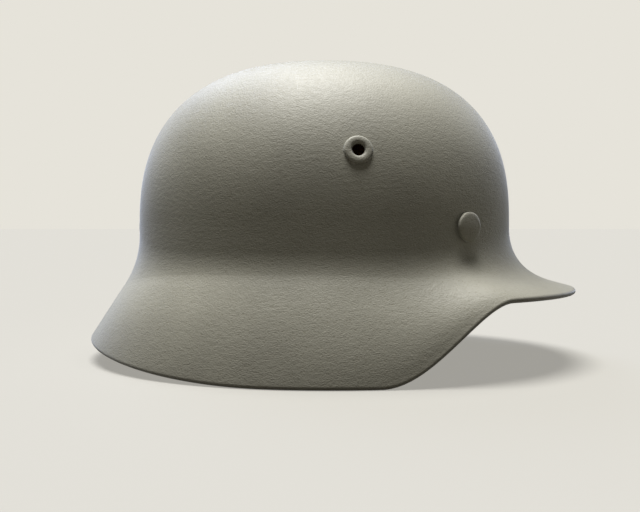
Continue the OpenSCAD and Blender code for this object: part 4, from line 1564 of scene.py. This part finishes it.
    def build_lace(self) -> None:
        """Builds the lace through the tips, its knot and its two ends."""
        steps = (3.2, 9.0, 16.0, 22.5, 29.0, 36.0, 41.8)
        route = [self.lace_point(finger, step) for finger in range(self.fingers) for step in steps]
        shape = bmesh.new()
        section = round_section(self.lace_radius, 12)
        sweep(shape, section, smooth_path(route, 5, closed=True), closed=True)
        knot = self.lace_point(self.fingers // 2, 180.0 / self.fingers) + Vector((0.0, 0.0, 0.6))
        trefoil = []
        for t in (math.tau * k / 60 for k in range(60)):
            across = self.knot_size * (math.sin(t) + 2.0 * math.sin(2.0 * t))
            along = self.knot_size * (math.cos(t) - 2.0 * math.cos(2.0 * t))
            trefoil.append(knot + Vector((across, along, -self.knot_depth * math.sin(3.0 * t))))
        sweep(shape, round_section(self.lace_radius * 0.85, 10), trefoil, closed=True)
        tail = [(0.0, 0.0, 0.0), (-3.0, 3.0, 1.0), (-8.0, 6.0, 1.6), (-13.0, 7.0, 1.0), (-18.0, 6.0, -0.4)]
        for side in (1.0, -1.0):
            points = [knot + Vector((x, side * y, z)) for x, y, z in tail]
            sweep(shape, section, smooth_path(points, 5))
        turn_outwards(shape)
        finish_piece(shape, "crown_lace_knotted", Body.HELMET, self.cotton, ["crown_lace"])

    def build(self) -> None:
        """Builds the leather, the felt, the clips and the lace."""
        self.build_leather()
        self.build_felt()
        self.build_lace()
        refined("leather_clips", self.clip, Body.HELMET, 0.1)


# The bales and the chinstrap


@dataclass
class Bales:
    """The two wire bales in their tabs."""

    wire: Coat
    tab: Coat
    rivet: Coat

    def build(self) -> None:
        """Builds the tabs, the rivets and the wires."""
        for side, body in (("left", Body.LEFT_BALE), ("right", Body.RIGHT_BALE)):
            refined("bale_tab_" + side, self.tab, Body.HELMET, 0.15)
            refined("bale_" + side, self.wire, body)
        refined("bale_tab_rivets", self.rivet, Body.HELMET, 0.12)


@dataclass
class Chinstrap:
    """The buckled chinstrap: two straps doubled round the bales, a keeper, studs and the buckle."""

    leather: Coat
    metal: Coat
    thread: Coat
    width: float = 15.0
    thickness: float = 1.8
    layer: float = 1.84
    hinge_y: float = 85.67
    bar_height: float = 44.0
    wire: float = 1.25
    loop: float = 2.45
    bend: float = 22.0
    short_level: float = 5.6
    long_level: float = 4.1
    tail_level: float = 3.5
    stud_height: float = 32.007
    buckle_y: float = 30.0
    buckle_bar: float = 7.85
    bar_turn: float = 2.25
    buckle_length: float = 18.0
    over_far: float = 8.05
    tail_end: float = 61.0
    keeper_at: float = 49.0
    keeper_width: float = 8.0
    keeper_wall: float = 1.2
    keeper_half: float = 8.4
    keeper_low: float = 1.8
    keeper_high: float = 9.1
    keeper_corner: float = 1.6
    stud_hole: float = 1.65
    prong_hole: float = 1.5
    slit_radius: float = 1.6
    bar_slit: float = 7.9
    prong_slit: float = 3.5
    prong_slit_before_bar: float = 8.5
    hole_places: tuple[float, ...] = (36.0, 44.0, 52.0)
    stitch_radius: float = 0.3
    stitch_pitch: float = 2.6
    stitch_rows: tuple[float, ...] = (11.0, 13.6)

    @property
    def leg_y(self) -> float:
        """Distance of the straps' upright parts from the middle."""
        return self.hinge_y + self.loop

    def arc(self, y: float, z: float, radius: float, start: float, end: float) -> Outline:
        """Returns an arc's points.

        Args:
            y: its middle's y.
            z: its middle's z.
            radius: its radius.
            start: its first angle in degrees.
            end: its last angle in degrees.

        Returns:
            Points as y and z.
        """
        count = 16
        angles = [math.radians(mix(start, end, k / count)) for k in range(count + 1)]
        return [(y + radius * math.cos(angle), z + radius * math.sin(angle)) for angle in angles]

    def hung_end(self, level: float) -> Outline:
        """Leads a strap from its doubled end over its bale and down.

        Args:
            level: height of the strap's middle at the bottom of the loop.

        Returns:
            The way's points, as y and z.
        """
        inner = self.leg_y - self.layer
        points = [(inner, level + self.bend + 0.1), (inner, self.stud_height + 4.2)]
        points.append((self.hinge_y - self.loop, self.bar_height - self.wire))
        points += self.arc(self.hinge_y, self.bar_height, self.loop, 180.0, 0.0)
        return points + self.arc(self.leg_y - self.bend, level + self.bend, self.bend, 0.0, -90.0)

    def short_path(self) -> Outline:
        """Leads the short strap, which folds back round the buckle's bar.

        Returns:
            The way's points, as y and z.
        """
        points = self.hung_end(self.short_level)
        points += self.arc(self.buckle_y, self.buckle_bar, self.bar_turn, 270.0, 90.0)
        top = self.short_level + self.layer
        points.append((self.buckle_y + 3.5, self.buckle_bar + 1.9))
        return [*points, (self.buckle_y + 10.0, top), (54.0, top)]

    def long_path(self) -> Outline:
        """Leads the long strap, over the buckle's far bar and down to its free end.

        Returns:
            The way's points, as y and z.
        """
        far = self.buckle_y - self.buckle_length
        points = [(-y, z) for y, z in self.hung_end(self.long_level)]
        for step in range(0, 39):
            y = -54.0 + 3.0 * step
            if y < far - 3.0:
                height = mix(self.long_level, self.over_far, ease((y - far + 30.0) / 26.0))
            else:
                height = mix(self.over_far, self.tail_level, ease((y - far) / (self.buckle_length - 1.0)))
            points.append((y, height))
        return [*points, (self.tail_end, self.tail_level)]

    def bent(self, outline: Outline) -> MeasuredPath:
        """Returns the measured path of an outline of y and z."""
        return MeasuredPath(resample([Vector((0.0, y, z)) for y, z in outline], 0.4, 3))

    def build_strap(self, name: str, node: str, path: MeasuredPath, holes: list[Hole], pointed: bool) -> None:
        """Builds one of the two straps.

        Args:
            name: the piece's name.
            node: the CAD node that it stands for.
            path: its way.
            holes: its holes.
            pointed: whether its end is cut to a blunt point.
        """

        def width(run: float) -> float:
            """Rounds the strap off at both ends.

            Args:
                run: distance along it.

            Returns:
                Its width there.
            """
            left = path.length - run
            share = min(1.0, left / 6.0) if pointed else 1.0
            tip = math.sqrt(1.0 - 0.88 * (1.0 - share) ** 2)
            corner = min(1.0, min(run, left) / 1.5)
            return self.width * tip * (1.0 - 0.14 * (1.0 - corner) ** 2)

        shape = strap(path, width, self.thickness, holes)
        turn_outwards(shape)
        finish_piece(shape, name, Body.CHINSTRAP, self.leather, [node])

    def build_keeper(self) -> None:
        """Builds the leather loop that holds the free end down."""
        corner = self.keeper_corner
        half, low, high = self.keeper_half - corner, self.keeper_low + corner, self.keeper_high - corner
        points = []
        for x, z, turn in ((half, high, 0.0), (-half, high, 90.0), (-half, low, 180.0), (half, low, 270.0)):
            middle = Vector((x, self.keeper_at, z))
            for step in range(6):
                angle = math.radians(turn + 18.0 * step)
                points.append(middle + Vector((corner * math.cos(angle), 0.0, corner * math.sin(angle))))
        shape = bmesh.new()
        section = flat_section(self.keeper_wall, self.keeper_width, 0.35)
        sweep(shape, section, points, closed=True, up=Vector((0.0, 1.0, 0.0)))
        turn_outwards(shape)
        finish_piece(shape, "keeper_loop", Body.CHINSTRAP, self.leather, ["strap_keeper"])

    def build_stitches(self) -> None:
        """Sews the short strap's fold with two rows of linen stitches."""
        shape = bmesh.new()
        top = self.short_level + self.layer + self.thickness / 2.0
        stitch = ((-1.0, -0.4), (-0.7, 0.1), (0.7, 0.1), (1.0, -0.4))
        for row in self.stitch_rows:
            y = self.buckle_y + row
            for number in range(-2, 3):
                points = [Vector((number * self.stitch_pitch + x, y, top + z)) for x, z in stitch]
                sweep(shape, round_section(self.stitch_radius, 6), smooth_path(points, 2))
        turn_outwards(shape)
        finish_piece(shape, "fold_stitches", Body.CHINSTRAP, self.thread)

    def build(self) -> None:
        """Builds the straps, the keeper, the stitches and the metal."""
        short = self.bent(self.short_path())
        studs = [(run, self.stud_hole, 0.0) for run in short.crossings(self.stud_height)]
        slit_at = short.nearest(self.buckle_y - self.bar_turn, self.buckle_bar)
        slit = (slit_at, self.slit_radius, self.bar_slit)
        self.build_strap("short_strap", "strap_short", short, [*studs, slit], False)
        long = self.bent(self.long_path())
        studs = [(run, self.stud_hole, 0.0) for run in long.crossings(self.stud_height)]
        slit_at = long.nearest(self.buckle_y - self.prong_slit_before_bar, self.over_far - 2.0)
        slit = (slit_at, self.slit_radius, self.prong_slit)
        holes = [(long.nearest(y, self.tail_level), self.prong_hole, 0.0) for y in self.hole_places]
        self.build_strap("long_strap", "strap_long", long, [*studs, slit, *holes], True)
        self.build_keeper()
        self.build_stitches()
        refined("strap_studs", self.metal, Body.CHINSTRAP, 0.12)
        refined("buckle_frame", self.metal, Body.CHINSTRAP)
        refined("buckle_prong", self.metal, Body.PRONG, 0.12)


# The floor, the lamps and the camera


@dataclass(frozen=True)
class Lamp:
    """A wide soft lamp above the object.

    Its level is how bright a white surface is that faces it, its spread is its apparent width, and it
    stands behind the object, as the camera sees it, and towards the object's rear, all in degrees.
    """

    name: str
    tone: str
    level: float
    spread: float
    behind: float
    rear: float

    def hang(self) -> None:
        """Hangs the lamp in the scene."""
        lamp = bpy.data.lights.new(self.name, "SUN")
        lamp.energy = self.level * math.pi
        lamp.color = colour(self.tone)[:3]
        lamp.angle = math.radians(self.spread)
        hung = bpy.data.objects.new(self.name, lamp)
        hung.rotation_euler = (math.radians(-self.behind), math.radians(-self.rear), 0.0)
        bpy.context.scene.collection.objects.link(hung)


@dataclass(frozen=True)
class Studio:
    """A wide pale floor, two soft lamps and the photograph's camera, in metres and degrees."""

    focal_length: float = 43.37
    camera_at: tuple[float, float, float] = (0.01123, -0.48773, 0.07972)
    pitch: float = -2.121
    yaw: float = 2.15
    floor_half: float = 40.0
    floor_tone: str = "e6e3da"
    floor_shade: float = 0.55
    bounce_tone: str = "322e26"
    world_tone: str = "c3c6cc"
    world_level: float = 0.015
    overhead: Lamp = Lamp("overhead light", "ffffff", level=1.98, spread=34.0, behind=6.5, rear=6.0)
    back: Lamp = Lamp("back light", "d2deff", level=0.34, spread=30.0, behind=40.0, rear=30.0)

    def build(self) -> None:
        """Builds the floor, the lights and the camera."""
        self.lay_floor()
        self.light()
        lens = bpy.data.cameras.new("camera")
        lens.lens = self.focal_length
        lens.sensor_width = 36.0
        lens.clip_start = 0.01
        camera = bpy.data.objects.new("camera", lens)
        camera.location = self.camera_at
        camera.rotation_euler = (math.radians(90.0 + self.pitch), 0.0, math.radians(self.yaw))
        bpy.context.scene.collection.objects.link(camera)
        bpy.context.scene.camera = camera

    def seen(self, tree: bpy.types.NodeTree) -> bpy.types.Node:
        """Adds nodes that tell where the camera, a mirror or glass looks straight at the surface.

        Args:
            tree: the tree of the floor's or the world's material.

        Returns:
            The last of them, which gives 1 there.
        """
        rays = add(tree, "LightPath").outputs
        seen = rays["Is Camera Ray"]
        for kind in ("Is Glossy Ray", "Is Transmission Ray"):
            seen = add(tree, "Math", {"operation": "MAXIMUM"}, {0: seen, 1: rays[kind]})
        return seen

    def lay_floor(self) -> None:
        """Lays the floor, a wide sheet of matt paper."""
        shape = bmesh.new()
        bmesh.ops.create_grid(shape, x_segments=1, y_segments=1, size=self.floor_half)
        mesh = bpy.data.meshes.new("floor")
        shape.to_mesh(mesh)
        shape.free()
        floor = bpy.data.objects.new("floor", mesh)
        material, put, shader, _ = new_material("pale paper floor", 1.0, Specular_IOR_Level=0.0)
        back = self.back.level * math.cos(math.radians(self.back.behind))
        lit = self.floor_shade / (self.overhead.level + back + self.world_level)
        red, green, blue, alpha = colour(self.floor_tone)
        shader.inputs["Base Color"].default_value = (red * lit, green * lit, blue * lit, alpha)
        glow = 1.0 - self.floor_shade
        shader.inputs["Emission Color"].default_value = (red * glow, green * glow, blue * glow, alpha)
        shader.inputs["Emission Strength"].default_value = 1.0
        bounce = put("BsdfDiffuse", {"Color": colour(self.bounce_tone)})
        blend = put("MixShader", links={0: self.seen(material.node_tree), 1: bounce, 2: shader})
        plug(material.node_tree.nodes["Material Output"], {"Surface": blend})
        mesh.materials.append(material)
        bpy.context.scene.collection.objects.link(floor)

    def light(self) -> None:
        """Hangs both lamps and sets the world's level."""
        self.overhead.hang()
        self.back.hang()
        world = bpy.data.worlds.new("studio")
        bpy.context.scene.world = world
        world.use_nodes = True
        tree = world.node_tree
        tree.nodes.clear()
        dim = add(tree, "Background", {"Color": colour(self.world_tone), "Strength": self.world_level})
        pale = add(tree, "Background", {"Color": colour(self.floor_tone), "Strength": 1.0})
        blend = add(tree, "MixShader", links={0: self.seen(tree), 1: dim, 2: pale})
        add(tree, "OutputWorld", links={"Surface": blend})


def main() -> None:
    """Builds the sub-assemblies in order."""
    logging.basicConfig(level=logging.INFO, format="%(name)s: %(message)s")
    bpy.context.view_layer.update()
    scene = bpy.context.scene
    scene.view_settings.view_transform = "Standard"
    Studio().build()
    paint = SprayedMattPaint().build()
    metals = {metal: finish.build() for metal, finish in METALS.items()}
    PressedShell(paint=Coat(paint, "grey_paint"), pin_paint=Coat(paint, "pin_paint")).build()
    rivet = Coat(metals[Metal.TINNED], "rivet_steel")
    band = Coat(metals[Metal.ZINC], "band_steel")
    SprungBands(band, Coat(metals[Metal.BLUED], "spring_steel"), rivet).build()
    LeatherLiner(
        leather=Coat(LINER_LEATHER.build(), "liner_leather"),
        felt=Coat(WoolFelt().build(), "felt"),
        clip=rivet,
        cotton=Coat(BraidedCotton().build(), "lace_cord"),
    ).build()
    wire = Coat(metals[Metal.ENAMELLED], "wire_steel")
    Bales(wire, band, rivet).build()
    Chinstrap(
        leather=Coat(STRAP_LEATHER.build(), "strap_leather"),
        metal=wire,
        thread=Coat(LINEN_THREAD.build(), "lace_cord"),
    ).build()


if __name__ == "__main__":
    main()
